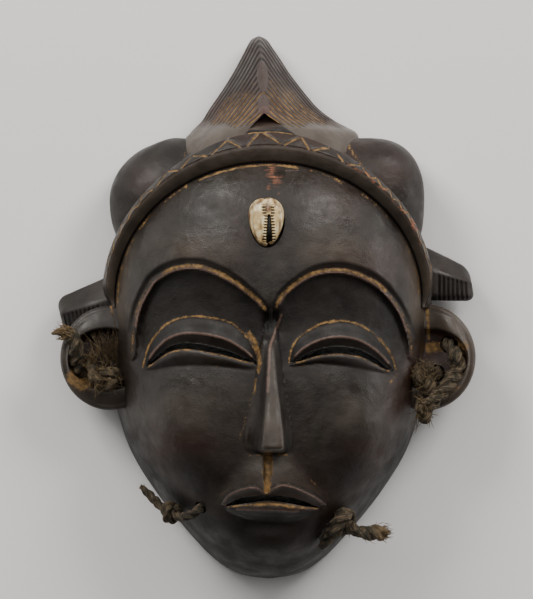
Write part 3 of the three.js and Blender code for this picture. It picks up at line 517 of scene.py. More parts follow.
SOCKET_DEPTHS = [
    [0, 3.2], [0.09, 4.6], [0.2, 6.6], [0.39, 7.8], [0.56, 6.6], [0.69, 3.3], [0.78, 1.4], [0.88, 0.45],
    [1, 0]]
ROOT_DIP = (1.4, -8.5, 3.6, 7.5, 5.4)  # the hollow between the eyes: x, y, half width, half height, depth
SOCKET_ENDS = [[0, 0.6], [0.2, 1], [0.72, 1], [0.88, 0.55], [1, 0]]
EYE_CORNERS = [[[5.9, -27.2], [61.9, -30]], [[9.1, -27.2], [60.4, -31.2]]]
LID_TOP = [
    [[5.1, -26.6], [5.7, -24.6], [7.5, -20.8], [9.8, -16.1], [13, -12.2], [17.7, -7.9], [22.4, -5.9],
     [30.2, -4.3], [38.1, -3.9], [46, -5.5], [52.3, -9], [57, -14.5], [59.8, -19.3], [62.4, -29]],
    [[8.6, -26.6], [9.1, -23.2], [10.2, -18.5], [13.8, -13.7], [19.3, -9.8], [25.6, -7.1], [33.5, -6],
     [40.5, -7.1], [46.8, -10.2], [52.3, -14.6], [56.3, -19.3], [59.6, -25.6], [60.8, -30.4]]]
LID_FLOOR = [
    [[5.7, -28.6], [8.2, -30.9], [17.7, -28.9], [29.5, -27.6], [41.3, -27.4], [49.1, -28], [57, -29.9],
     [61.9, -31]],
    [[8.9, -27.8], [11, -28.3], [21.6, -26.4], [31.1, -26.8], [39.7, -28.3], [50.8, -30.9], [57.8, -32.5],
     [60.2, -32.8]]]
SLIT_ARCH = [
    [[9.8, -25.1], [16.1, -22.4], [22.4, -20], [28.7, -18.4], [35.8, -17.05], [42.9, -16.9], [49.1, -18.6],
     [53.9, -22], [57.8, -25.8]],
    [[14.6, -23.6], [19.3, -21.2], [24.8, -19.3], [31.1, -18.5], [36.6, -18.8], [42.9, -20.1], [49.2, -23.4],
     [54, -27], [57.6, -29.8]]]
SLIT_OPENING = [[0.4, 2.9], [0.4, 3.3]]
UPPER_LID = [
    [0, -6.2], [0.1, -4.8], [0.3, -3.3], [0.5, -2.0], [0.58, -1.2], [0.63, -1.0], [0.68, -1.5], [1, -3.5]]
LOWER_LID = [[0, -1.9], [0.12, -1.1], [0.4, -0.7], [0.75, -1.3], [1, -2.4], [1.4, -6]]
LID_DROP = 2.2
NOSE = [  # y; half widths of the ridge, the wall's foot and the flare; height over the skin; x of the ridge
    [3, 0.6, 1.4, 2.4, -8, 1.2], [-4, 0.7, 1.6, 2.8, -8, 1.2], [-11, 0.9, 2.2, 3.6, -5, 1.2],
    [-15, 1.0, 2.8, 4.4, -0.4, 1.2], [-20, 1.25, 3.7, 5.6, 4.8, 1.3], [-36, 2.4, 6, 9.6, 11, 1.7],
    [-47, 3.4, 7.4, 12.4, 14.4, 2.1], [-57, 4.4, 8.8, 15, 18, 2.2],
    [-63.5, 5, 9.4, 15.6, 19.6, 2.2], [-66.4, 5.2, 9.4, 15, 20, 2.1], [-67.8, 5.1, 9, 14.2, 18.8, 2.0],
    [-68.8, 4.8, 8.6, 13.2, 13.5, 1.9], [-69.6, 4.2, 8, 12.2, 5, 1.8], [-70.4, 3.6, 7, 11, -3, 1.8]]
NOSE_SECTION = [
    [0, 1], [0.5, 0.99], [0.85, 0.955], [1.12, 0.86], [1.5, 0.52], [1.85, 0.3], [2.2, 0.18], [2.6, 0.08],
    [3, -0.06]]
NOSE_RIGHT_WALL, NOSE_RIGHT_FLARE = 0.82, 0.6  # how much narrower the nose is on its right side
MUZZLE_TOP = [[-11.5, -66], [1, -64], [12.5, -66]]
MUZZLE_FOOT = [[-31, -95], [1, -103], [32, -95]]
MUZZLE_HEIGHTS = [[0, 2.5], [0.2, 3.4], [0.45, 6.0], [0.75, 7.4], [0.9, 5.6], [1, 2.6]]
MOUTH_X = 1.4
LIP_TOP = [
    [-24.2, -95], [-22.2, -91.2], [-19, -88.6], [-14.3, -86.7], [-9.4, -85.6], [-5.5, -86.6], [-2.4, -88.9],
    [0.4, -86.6], [4.6, -84.5], [10, -85.3], [17.8, -88.7], [23.6, -92.4], [26.6, -95.6]]
SLIT_TOP = [
    [-21.8, -95.2], [-15.3, -91.8], [-7.5, -90.7], [-1.6, -90.6], [6.1, -90.8], [13.9, -92.7], [23, -96.4]]
SLIT_FLOOR = [[-21.8, -95.7], [-9.5, -93.7], [-1.6, -92.8], [6.1, -93.6], [14.9, -95.4], [23, -96.8]]
LIP_FLOOR = [
    [-21.4, -97.6], [-17.3, -99.3], [-7.5, -101.6], [2.2, -102.4], [10, -102], [17.5, -100.2], [23, -97.8]]
UPPER_LIP = [[0, 4.2], [0.08, 6.3], [0.16, 7.1], [0.26, 6.6], [0.6, 5.1], [1, 4.2]]
LOWER_LIP = [[0, 4.2], [0.25, 5.3], [0.42, 5.9], [0.5, 5.6], [0.75, 3.7], [1, 1.3], [1.4, -1.6]]
PHILTRUM = [(-0.3, -70.8), (-0.7, -87.8)]
PHILTRUM_HALF = (2.5, 1.3)
PHILTRUM_FLOOR = (-0.8, 3.1)
FACE_ROWS = [  # from, to and spacing: mouth, nose wings, tip of the nose, eyes, forehead, under the band
    (-105.5, -80, 0.45), (-79.7, -71, 0.62), (-70.6, -64, 0.32), (-63.6, 27, 0.65), (28, 60, 1.7),
    (61, 71.2, 0.55)]
CHIN_SPACING, COLUMN_SPACING, SIDE_SPACING = 1.3, 0.66, 1.7
SHELL_HALF, SHELL_DEPTH = 79, 78  # the shell's own half width and depth, for the spacing of the columns


def clamp01(t):
    return np.clip(t, 0, 1)


def ease(t):
    t = clamp01(t)
    return t * t * (3 - 2 * t)


def mix(a, b, t):
    return a + (b - a) * t


def evened(rows, steps=3000):
    """A smooth curve through rows of two numbers, as a table to read with rising keys"""
    table = rail(rows, steps)
    return table[np.argsort(table[:, 0], kind="stable")]


def read(table, key):
    return np.interp(key, table[:, 0], table[:, 1])


width_table, depth_table = evened(HALF_WIDTHS), evened(DEPTHS)


def mound(x, y, at_x, at_y, wide, tall):
    """A soft round patch: 1 at its middle, fading out over its two half sizes"""
    return np.exp(-((x - at_x) / wide) ** 2 - ((y - at_y) / tall) ** 2)


def section(t):
    """Height of a cross section, by the way out from its middle to the rim"""
    return np.sqrt(np.maximum(0, 1 - np.minimum(1, np.abs(t)) ** SECTION_POWER))


def half_width(y):
    return np.maximum(1, read(width_table, y))


def skin(x, y):
    """Height of the smooth face over the rim"""
    edge = section(x / half_width(y))
    swelling = sum(rise * mound(x, y, at_x, at_y, wide, tall) for at_x, at_y, rise, wide, tall in SWELLINGS)
    return read(depth_table, y) * edge + swelling * clamp01(edge * 1.6)


def across(x, y, upper, lower, beyond=1.0):
    """For points between two rows: the way along the rows, the way across, and which points are between"""
    share = np.linspace(0, 1, len(upper))
    facing = np.sign(upper[-1, 0] - upper[0, 0])

    def rung(a):
        return [np.interp(a, share, row[:, c]) for row in (upper, lower) for c in (0, 1)]

    def turn(a):
        ux, uy, lx, ly = rung(a)
        return facing * ((lx - ux) * (y - uy) - (ly - uy) * (x - ux))

    low, high = np.zeros_like(x), np.ones_like(x)
    inside = (turn(low) >= 0) & (turn(high) <= 0)
    for _ in range(24):
        a = (low + high) / 2
        past = turn(a) > 0
        low, high = np.where(past, a, low), np.where(past, high, a)
    ux, uy, lx, ly = rung(low)
    span = (lx - ux) ** 2 + (ly - uy) ** 2
    v = ((x - ux) * (lx - ux) + (y - uy) * (ly - uy)) / span
    return low, v, inside & (v >= 0) & (v <= beyond)


def off_line(x, y, line):
    """Distance of points from a drawn line"""
    best = np.full(x.shape, 1e9)
    for (ax, ay), (bx, by) in zip(line[:-1], line[1:]):
        square = max(1e-9, (bx - ax) ** 2 + (by - ay) ** 2)
        t = clamp01(((x - ax) * (bx - ax) + (y - ay) * (by - ay)) / square)
        best = np.minimum(best, (x - mix(ax, bx, t)) ** 2 + (y - mix(ay, by, t)) ** 2)
    return np.sqrt(best)


def near(x, y, line, reach):
    """Which points lie in the box of a line, with a margin"""
    low, high = line.min(0) - reach, line.max(0) + reach
    return (x > low[0]) & (x < high[0]) & (y > low[1]) & (y < high[1])


def side_rail(points, side, steps=120):
    return rail([[FACE_X + side * u, y] for u, y in points], steps)


def mouth_rail(points, steps=120):
    return rail([[MOUTH_X + x, y] for x, y in points], steps)


def slit_rails(side):
    """The upper and lower edge of an eye's slit, from its inner to its outer corner"""
    k = side > 0
    arch = side_rail([EYE_CORNERS[k][0], *SLIT_ARCH[k], EYE_CORNERS[k][1]], side)
    share = np.linspace(0, 1, len(arch))
    opening = mix(*SLIT_OPENING[k], np.sqrt(np.sin(np.pi * clamp01((share - 0.07) / 0.86)).clip(0)))
    opening *= ease(share / 0.06) * ease((1 - share) / 0.06)
    return arch, arch - np.stack([0 * opening, opening], 1)


def soft_max(a, b, k):
    return np.maximum(a, b) + np.maximum(k - np.abs(a - b), 0) ** 2 / (4 * k)


features = {}
for side, brow in zip((-1, 1), BROWS):
    upper, lower = slit_rails(side)
    features[side] = {
        "brow": side_rail(brow, side, 160), "floor": side_rail(SOCKET_FLOOR, side, 160),
        "lid_top": side_rail(LID_TOP[side > 0], side), "lid_floor": side_rail(LID_FLOOR[side > 0], side),
        "slit_top": upper, "slit_floor": lower}
mouth = {name: mouth_rail(points) for name, points in (
    ("lip_top", LIP_TOP), ("slit_top", SLIT_TOP), ("slit_floor", SLIT_FLOOR), ("lip_floor", LIP_FLOOR))}
muzzle = [rail(MUZZLE_TOP, 120), rail(MUZZLE_FOOT, 120)]
tables = {name: evened(rows, 600) for name, rows in (
    ("ledge", LEDGE), ("ledge_width", LEDGE_WIDTHS), ("socket", SOCKET_DEPTHS), ("ends", SOCKET_ENDS),
    ("upper_lid", UPPER_LID), ("lower_lid", LOWER_LID), ("muzzle", MUZZLE_HEIGHTS), ("upper_lip", UPPER_LIP),
    ("lower_lip", LOWER_LIP))}
nose_tables = [evened([[row[0], row[c]] for row in NOSE], 1200) for c in range(1, 6)]
nose_section = rail(NOSE_SECTION, 300)


def raise_strip(z, x, y, base, upper, lower, heights, fade, k):
    """Raise the ground between two rows to a table of heights over the base, faded along the rows"""
    part = near(x, y, np.vstack([upper, lower]), 3)
    a, v, inside = across(x[part], y[part], upper, lower, heights[-1, 0])
    top = base[part] + read(heights, v) * fade(a)
    z[part] = np.where(inside, soft_max(z[part], top, k), z[part])


def face_height(x, y):
    """Height of the modelled face over the rim"""
    base = skin(x, y)
    z = base.copy()
    for side in (-1, 1):
        rows = features[side]
        part = near(x, y, np.vstack([rows["brow"], rows["floor"]]), 0.5)
        px, py = x[part], y[part]
        a, v, inside = across(px, py, rows["brow"], rows["floor"])
        distance = off_line(px, py, rows["brow"][::2]) / read(tables["ledge_width"], a)
        ends = read(tables["ends"], a)
        hollow = mix(read(tables["ledge"], distance), read(tables["socket"], v), ease((distance - 5.0) / 2.2))
        z[part] = np.where(inside, base[part] - hollow * ends, z[part])
    for side in (-1, 1):
        rows = features[side]

        def drop(a):
            return LID_DROP * (1 - np.sqrt(np.sin(np.pi * mix(0.03, 0.97, a))))

        for upper, lower, levels, beyond in (("lid_top", "slit_top", "upper_lid", 1),
                                             ("slit_floor", "lid_floor", "lower_lid", 1.4)):
            part = near(x, y, np.vstack([rows[upper], rows[lower]]), 4)
            a, v, inside = across(x[part], y[part], rows[upper], rows[lower], beyond)
            top = base[part] + read(tables[levels], v) - drop(a)
            z[part] = np.where(inside, soft_max(z[part], top, 0.7 if beyond > 1 else 0.01), z[part])
        part = near(x, y, np.vstack([rows["slit_top"], rows["slit_floor"]]), 0.5)
        a, v, inside = across(x[part], y[part], rows["slit_top"], rows["slit_floor"] - [0, 0.01])
        z[part] = np.where(inside, base[part] - 3.0 - drop(a), z[part])
    *dip, dip_depth = ROOT_DIP
    z -= dip_depth * mound(x, y, *dip)
    ridge, wall, flare, height, middle = (read(table, y) for table in nose_tables)
    wall = wall * np.where(x > middle, NOSE_RIGHT_WALL, 1)
    flare = np.maximum(flare * np.where(x > middle, NOSE_RIGHT_FLARE, 1), wall + 1)
    u = np.abs(x - middle)
    q = np.where(u < wall, 1 + (u - ridge) / (wall - ridge), 2 + (u - wall) / (flare - wall))
    q = np.where(u < ridge, u / ridge, q)  # 1 at the ridge's edge, 2 at the wall's foot, 3 at the flare's
    wing = mix(1, 0.3, ease((-y - 56) / 11) * clamp01((q - 1.05) / 0.7))
    top = skin(middle, y) + np.maximum(height, 0) * read(nose_section, q) * wing + np.minimum(height, 0)
    top = top - 2.5 * clamp01(2 * q - 5)
    part = (q < 3) & (y < 4) & (y > -70.4)
    z[part] = soft_max(z[part], top[part], 1.6)

    def muzzle_fade(a):
        return np.sin(np.pi * a).clip(0) ** 0.7

    raise_strip(z, x, y, base - 2.6, *muzzle, tables["muzzle"], muzzle_fade, 1.2)

    def lip_fade(a):
        return np.sqrt(np.sin(np.pi * mix(0.02, 0.98, a)))

    raise_strip(z, x, y, base, mouth["lip_top"], mouth["slit_top"], tables["upper_lip"], lip_fade, 0.3)
    raise_strip(z, x, y, base, mouth["slit_floor"], mouth["lip_floor"], tables["lower_lip"], lip_fade, 0.3)
    part = near(x, y, np.vstack([mouth["slit_top"], mouth["slit_floor"]]), 0.2)
    a, v, inside = across(x[part], y[part], mouth["slit_top"], mouth["slit_floor"])
    z[part] = np.where(inside, base[part] + 3.6 * lip_fade(a), z[part])

    way = clamp01((PHILTRUM[0][1] - y) / (PHILTRUM[0][1] - PHILTRUM[1][1]))
    off = np.abs(x - mix(PHILTRUM[0][0], PHILTRUM[1][0], way)) / mix(*PHILTRUM_HALF, way)
    part = (off < 1.4) & (y < PHILTRUM[0][1]) & (y > PHILTRUM[1][1] - 0.6)
    floor_level = base + mix(*PHILTRUM_FLOOR, way) + 2.6 * np.maximum(off, 0.01) ** 6
    z[part] = np.minimum(z[part], floor_level[part])
    return z


def steps_of(points, spacing):
    """Rows spaced evenly along a profile"""
    way = run(points)
    return np.interp(np.linspace(0, way[-1], int(way[-1] / spacing) + 1), way, points[:, 0])


def fine_rows():
    """Where the mesh has its rows: close together on the features, wider where the face is plain"""
    chin = np.linspace(CHIN, -106, 400)
    low = steps_of(np.stack([chin, read(depth_table, chin)], 1), CHIN_SPACING)
    return np.concatenate([low, *[np.arange(*stretch) for stretch in FACE_ROWS], np.linspace(73, CROWN, 6)])


def fine_columns():
    """Where the mesh has its columns, as shares of the half width, closer than the sides in front"""
    inner = np.arange(0, 0.9, COLUMN_SPACING / SHELL_HALF)
    outer = np.linspace(inner[-1], 1, 300)
    profile = np.stack([outer * SHELL_HALF, SHELL_DEPTH * section(outer)], 1)
    steps = steps_of(profile, SIDE_SPACING) / SHELL_HALF
    half = np.concatenate([inner[:-1], steps])
    half[-1] = 1
    return np.concatenate([-half[:0:-1], half])


rows, columns = fine_rows(), fine_columns()
y_grid = np.repeat(rows[:, None], len(columns), 1)
x_grid = half_width(rows)[:, None] * columns[None]
z_grid = face_height(x_grid.ravel(), y_grid.ravel()).reshape(x_grid.shape)
z_grid[:, 0] = z_grid[:, -1] = 0
face = closed("mask_face", np.stack([x_grid, y_grid, z_grid.clip(0)], -1))


# Hollow: the back of the shell, scooped out by hand and left rough, with the eyes, the mouth,
# the cord holes and the place of the cowrie cut into the clay.
RIM_WALL, FACE_WALL = 8, 14
SHELL_TOP, SHELL_LOW, SHELL_WIDEST, SHELL_DEEPEST = 92, -134.4, 80, 78.5
CORD_PLAY = 1.6
BORED = {"cord_ear_right": [(0, 14), (33, 51)], "cord_ear_left": [(0, 14), (30, 48)],
         "cord_jaw_left": [(4, 26)], "cord_jaw_right": [(4, 25)]}
EAR_HOLE = [-86.2, -14.4, 5.6, 1.5]
COWRIE_AT, COWRIE_HALF, COWRIE_POWER, COWRIE_EGG = [-0.7, 41.4, 77.6], [8.2, 11.8, 5.2], 2.15, 0.16


def cut(piece, *tools):
    """Take tools out of a piece"""
    for tool in tools:
        change = piece.modifiers.new("cut", "BOOLEAN")
        change.operation, change.solver, change.object = "DIFFERENCE", "MANIFOLD", tool
        whole = bpy.data.meshes.new_from_object(piece.evaluated_get(bpy.context.evaluated_depsgraph_get()))
        piece.modifiers.clear()
        before = piece.data
        piece.data = whole
        bpy.data.meshes.remove(before)
        whole.name = piece.name


def hollow_rings(rows, columns):
    """Rings of the hollow: the shell's own form, smaller by its walls, with the dents of the fingers"""
    rings = []
    narrow, shallow = 1 - RIM_WALL / SHELL_WIDEST, 1 - FACE_WALL / SHELL_DEEPEST
    angle = np.pi * np.arange(columns + 1) / columns
    for share in np.linspace(0.03, 0.97, rows):
        y = mix(SHELL_LOW, SHELL_TOP, (1 - math.cos(math.pi * share)) / 2)
        inner = mix(SHELL_LOW + RIM_WALL, SHELL_TOP - RIM_WALL, (y - SHELL_LOW) / (SHELL_TOP - SHELL_LOW))
        t = np.cos(angle)
        dents = 0.5 * np.sin(9 * t + y / 9) + 0.4 * np.sin(14 * t - y / 6)
        z = read(depth_table, y) * shallow * section(t) + dents * section(t)
        z[[0, -1]] = -1
        x = read(width_table, y) * narrow * t
        rings.append(np.stack([x, np.full_like(x, inner), z], 1))
    return rings


def prism(name, outline, low, high):
    """An upright tool with one outline from one height to another"""
    outline = np.asarray(outline, float)
    return closed(name, [np.column_stack([outline, np.full(len(outline), z)]) for z in (low, high)])


def round_tool(name, points, radius):
    """A round tool along a line of points, of one radius or one for each point"""
    radius = np.broadcast_to(np.asarray(radius, float), len(points))[:, None, None]
    sides, ups = stand(points)
    angle = np.linspace(0, 2 * np.pi, 28, endpoint=False)
    return closed(name, points[:, None] + radius * (np.cos(angle)[None, :, None] * sides[:, None]
                                                    + np.sin(angle)[None, :, None] * ups[:, None]))


def fuller_ball(middle, half, power, egg=0.0, columns=72, rows=44):
    """Rings of a rounded body from one end of its height to the other"""
    rings = []
    turn = np.linspace(0, 2 * np.pi, columns, endpoint=False)
    for tilt in np.linspace(-0.985, 0.985, rows) * np.pi / 2:
        u, v = math.cos(tilt) * np.cos(turn), math.cos(tilt) * np.sin(turn)
        w = np.full(columns, math.sin(tilt))
        r = (np.abs(u) ** power + np.abs(v) ** power + np.abs(w) ** power) ** (-1 / power)
        rings.append(np.stack([middle[0] + half[0] * u * r * (1 + egg * v * r), middle[1] + half[1] * v * r,
                               middle[2] + half[2] * w * r], 1))
    return rings


hollow_tool = closed("hollow_tool", hollow_rings(70, 72))
slit_tools = []
for side in (-1, 1):
    top, low = features[side]["slit_top"], features[side]["slit_floor"]
    wide = slice(8, -8)
    slit_tools.append(prism("eye_tool", np.vstack([top[wide], low[wide][::-1]]), 5, 110))
slit_tools.append(prism("mouth_tool", np.vstack([mouth["slit_top"], mouth["slit_floor"][::-1]]), 5, 110))
bore_tools = {}
for name, stretches in BORED.items():
    diameter, route = ROUTES[name]
    line = rail(route, 400)
    way = run(line)
    bore_tools[name] = []
    for start, end in stretches:
        part = line[(way >= start) & (way <= end)][::6]
        play = CORD_PLAY if "jaw" in name else mix(-0.4, CORD_PLAY + 0.6, clamp01((part[:, 2] - 21) / 4))
        bore_tools[name].append(round_tool("bore_tool", part, (diameter + play) / 2))
seat_half = [h + 0.6 for h in COWRIE_HALF]
seat_tool = closed("seat_tool", fuller_ball(COWRIE_AT, seat_half, COWRIE_POWER, COWRIE_EGG))
cut(face, hollow_tool, *slit_tools, *bore_tools["cord_jaw_left"], *bore_tools["cord_jaw_right"], seat_tool)


def drawn(x, y, lines):
    """How strongly the nearest of some drawn lines reaches each point: 1 on a line, 0 beyond its width"""
    best = np.zeros_like(x)
    for line, half, strength in lines:
        line = np.asarray(line, float)
        part = near(x, y, line, half)
        best[part] = np.maximum(best[part], strength * clamp01(1 - off_line(x[part], y[part], line) / half))
    return best


def offset(line, by):
    """A line moved to its own side, by one width or one for each point"""
    by = np.asarray(by, float).reshape(-1, 1)
    ahead = np.gradient(line, axis=0)
    ahead /= np.linalg.norm(ahead, axis=1)[:, None]
    return line + by * np.stack([ahead[:, 1], -ahead[:, 0]], 1)


# The palest grey tone is painted sheen on lit parts. The darkest tone is painted shade in hollows and on parts
# turned from the light. The pinkish tone is partly rubbed edges and partly painted highlight lines.
CLAY_COLOURS = {
    "near_black": (0.011, 0.0080, 0.0064, 1), "dark_brown": (0.029, 0.0205, 0.0160, 1),
    "brown": (0.034, 0.0262, 0.0200, 1), "olive": (0.022, 0.0215, 0.0135, 1),
    "red_brown": (0.040, 0.015, 0.009, 1), "black_grain": (0.007, 0.0052, 0.0043, 1),
    "pale": (0.088, 0.071, 0.056, 1), "rust": (0.055, 0.0165, 0.009, 1), "soot": (0.0035, 0.0030, 0.0026, 1),
    "worn_highlight": (0.160, 0.100, 0.078, 1), "ochre_deep": (0.092, 0.053, 0.018, 1),
    "ochre": (0.28, 0.164, 0.058, 1), "chip_deep": (0.11, 0.043, 0.024, 1), "chip": (0.34, 0.125, 0.060, 1)}


def clay_material():
    """Dark oiled terracotta: near-black and red-brown, ochre left in the cuts, orange where it is chipped, with
    painted sheen, painted shade and painted highlight lines laid over it
    """
    material, nodes, links, shader = principled("oiled_terracotta")
    shader.inputs["Specular IOR Level"].default_value = 0.42
    tone = CLAY_COLOURS

    def kept(name):
        node = nodes.new("ShaderNodeAttribute")
        node.attribute_name = name
        return node.outputs["Fac"]

    def number(operation, *values):
        node = nodes.new("ShaderNodeMath")
        node.operation = operation
        for slot, value in zip(node.inputs, values):
            if isinstance(value, (int, float)):
                slot.default_value = value
            else:
                links.new(value, slot)
        return node.outputs["Value"]

    def stepped(value, low, high):
        node = nodes.new("ShaderNodeMapRange")
        node.interpolation_type = "SMOOTHSTEP"
        node.inputs["From Min"].default_value, node.inputs["From Max"].default_value = low, high
        links.new(value, node.inputs["Value"])
        return node.outputs["Result"]

    def over(body, colour, share, amount):
        """A colour laid over the body where a share says so, at a given strength"""
        return blend(nodes, links, number("MULTIPLY", share, amount), body, colour)

    cloud = spots(nodes, links, 24, 5, 0.38, 0.66)
    mottle = spots(nodes, links, 120, 6, 0.34, 0.68)
    grain = spots(nodes, links, 480, 6, 0.3, 0.72)
    body = blend(nodes, links, cloud, tone["near_black"], tone["dark_brown"])
    body = over(body, tone["brown"], mottle, 0.6)
    body = over(body, tone["olive"], spots(nodes, links, 75, 4, 0.5, 0.7), 0.5)
    body = over(body, tone["red_brown"], spots(nodes, links, 13, 3, 0.48, 0.7), 0.7)
    body = over(body, tone["black_grain"], grain, 0.55)
    # Painted sheen on lit parts, red-brown rust, then painted shade in hollows and on parts turned from the light
    body = over(body, tone["pale"], kept("pale"), number("ADD", 0.6, number("MULTIPLY", mottle, 0.4)))
    body = over(body, tone["rust"], kept("rust"), 0.85)
    body = over(body, tone["soot"], kept("soot"), 0.9)
    # Rubbed edges together with painted highlight lines along ridges and rims
    edge = stepped(number("ADD", kept("wear"), number("MULTIPLY", grain, 0.35)), 0.4, 1.25)
    body = over(body, tone["worn_highlight"], edge, 0.75)
    rough = number("MULTIPLY_ADD", spots(nodes, links, 90, 6, 0.3, 0.7), 0.24, 0.31)
    rough = number("ADD", rough, number("MULTIPLY", kept("soot"), 0.22))
    crumbs = number("ADD", number("MULTIPLY", spots(nodes, links, 210, 4, 0.3, 0.7), 0.34),
                    number("MULTIPLY", spots(nodes, links, 900, 5, 0.3, 0.7), 0.34))
    paint = stepped(number("ADD", kept("ochre"), crumbs), 0.64, 1.12)
    earth = blend(nodes, links, spots(nodes, links, 330, 5), tone["ochre_deep"], tone["ochre"])
    body = over(body, earth, paint, 0.95)
    streaks = spots(nodes, links, 520, 5, 0.36, 0.64, (0.3, 1.5, 1))
    chip = stepped(number("ADD", kept("chip"), number("MULTIPLY", streaks, 0.55)), 0.5, 1.1)
    bare = blend(nodes, links, spots(nodes, links, 420, 4), tone["chip_deep"], tone["chip"])
    body = over(body, bare, chip, 0.85)
    links.new(body, shader.inputs["Base Color"])
    rough = number("ADD", rough, number("MULTIPLY", number("MAXIMUM", paint, chip), 0.3))
    links.new(rough, shader.inputs["Roughness"])
    bump = nodes.new("ShaderNodeBump")
    bump.inputs["Strength"].default_value = 0.35
    bump.inputs["Distance"].default_value = 0.00016
    height = number("ADD", spots(nodes, links, 1500, 4, 0.2, 0.8), number("MULTIPLY", paint, 0.6))
    height = number("ADD", height, number("MULTIPLY", mottle, 1.6))
    height = number("ADD", height, number("MULTIPLY", spots(nodes, links, 48, 3, 0.2, 0.8), 10))
    links.new(height, bump.inputs["Height"])
    links.new(bump.outputs["Normal"], shader.inputs["Normal"])
    return material


CLAY = clay_material()


def clay(piece, angle=50, **kept):
    """The finish and body of a piece of the mask, with the numbers that its material reads"""
    # The light-tone number is painted sheen, the dark-tone number is painted shade, and the edge number is rubbed
    # wear with painted highlights
    for name in ("ochre", "wear", "rust", "soot", "chip", "pale"):
        note(piece, name, np.broadcast_to(kept.get(name, 0.0), len(piece.data.vertices)))
    piece.data.materials.clear()
    piece.data.materials.append(CLAY)
    piece.data.shade_smooth()
    piece.data.set_sharp_from_angle(angle=math.radians(angle))
    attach(piece, "root")
    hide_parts("mask")
    return piece


x, y, z = places(face).T
outer = ease((z - skin(x, y) + 13) / 3)
NEAR_BY = 1.4
around = (face_height(x + NEAR_BY, y) + face_height(x - NEAR_BY, y) + face_height(x, y + NEAR_BY)
          + face_height(x, y - NEAR_BY)) / 4
relief = face_height(x, y) - around  # above zero on an edge, below it in a corner
# Drawn lines: ochre on ledges and lids, painted highlights along ridges and rims with their rubbed edges, and
# painted shade along the brow steps and under the lids and lips
ledge_lines, lid_lines, rims, grooves = [], [], [], []
lower_lip = mouth["slit_floor"], mouth["lip_floor"]
# Painted shade on the lower lip
shades = [(mix(*lower_lip, share)[8:-8:4], half, 1.25) for share, half in ((0.68, 2.2), (0.9, 3.6))]
for side, inner_share in ((-1, 0.56), (1, 0.66)):
    rows_here = features[side]
    brow = rows_here["brow"]
    widths = read(tables["ledge_width"], np.linspace(0, 1, len(brow)))
    line = offset(brow, side * 3.7 * widths)
    cut_at = int(inner_share * len(line))
    ledge_lines += [(line[1:cut_at // 2:2], 1.9, 1.0), (line[cut_at // 2:cut_at:2], 1.5, 0.9),
                    (line[cut_at::2], 1.3, 0.55)]
    lid = rows_here["lid_top"]
    lid_lines += [(lid[::3], 1.05, 0.85), (offset(rows_here["slit_floor"], side * 0.5)[6:-6:3], 0.8, 0.75),
                  (rows_here["lid_floor"][4:60:4], 0.7, 0.35)]
    ridge = mix(lid, rows_here["slit_top"], 0.62)
    # Painted highlight lines on the brow rim and the lid ridge, and painted shade on the upper lid, under the
    # lower lid and along the brow's step
    rims += [(offset(brow, side * 5.0 * widths)[4:-20:2], 1.25, 1.2), (ridge[10:-10:3], 1.15, 1.3)]
    shades += [(mix(lid, rows_here["slit_top"], 0.34)[4:-4:4], 8.0, 1.3),
               (rows_here["lid_floor"][2:84:4] - [0, 1.5], 5.0, 0.85)]
    grooves += [(offset(brow, side * 0.9 * widths)[1:-14:2], 1.0, 1.0)]
# Painted highlight lines on the lip rims, along the edge of the nose ridge and on a spot of the forehead
rims += [(offset(mouth["lip_top"], 0.9)[4:-4:2], 1.1, 1.05), (mix(*lower_lip, 0.47)[14:-28:3], 1.2, 1.1),
         (rail([(6.2, -3), (4.4, -8), (2.6, -13), (0.9, -18), (0.2, -26), (-0.5, -40)], 24), 1.2, 1.2),
         ([(8.4, 66.4), (14.2, 66.6)], 0.8, 0.8)]
BAND_Y, BAND_INNER, BAND_PEAK = 4, (75, 66.2), 4


def band_line(half, degrees, peak=0.0):
    angle = np.radians(degrees)
    up = np.sin(angle)
    return np.stack([half[0] * np.cos(angle), BAND_Y + half[1] * up + peak * up.clip(0) ** 10], -1)


BAND_OCHRE = [[3, 14, 0.8], [20, 30, 0.5], [38, 52, 0.6], [60, 74, 0.62], [79, 117, 0.95], [121, 133, 0.75],
              [140, 149, 0.65], [152, 161, 0.6], [165, 181, 0.9]]
band_lines = [(band_line([h - 1.1 for h in BAND_INNER], np.linspace(start, end, 14)), 1.0, strength)
              for start, end, strength in BAND_OCHRE]
inner_corner = rail([(-11, -9.6), (-7.6, -14.4), (-5.4, -19.4), (-4.2, -25), (-4.6, -30.6)], 24)
ochre = drawn(x, y, ledge_lines + lid_lines + band_lines + [
    (inner_corner[3:], 2.0, 0.95), ([(-6.2, -34), (-6.8, -41)], 1.5, 0.7),
    (rail([(-8.4, -42), (-10.4, -50), (-12.6, -58), (-14, -64)], 20), 2.0, 0.36),
    ([(-23.8, -91.2), (-19.6, -87)], 1.0, 0.5), ([(20.6, -82.8), (25.4, -88.4)], 1.0, 0.45),
    ([(-19.8, -95.2), (-23.4, -95.2)], 0.8, 0.6), ([(23, -96.2), (27.4, -96.6)], 0.8, 0.6),
    ([(62.4, -32), (59, -36.5)], 1.3, 0.6),
    ([(-10, -70.9), (9, -70.4)], 0.9, 0.6), ([(-3.4, -68.6), (3, -68.2)], 0.8, 0.6),
    ([PHILTRUM[0], (-0.5, -79)], 3.6, 1.4), ([(-0.5, -79), PHILTRUM[1]], 2.5, 1.4),
    (mix(*lower_lip, 0.13)[2:40:3], 1.0, 0.8), (mix(*lower_lip, 0.16)[36:-2:3], 1.45, 0.9)])
chip = drawn(x, y, [([(1.6, 66.6), (3.2, 62)], 4.6, 0.58), ([(0, 60), (0.2, 56.4)], 1.5, 0.45),
                    ([(5, 56.6), (4.6, 53)], 1.3, 0.4)])
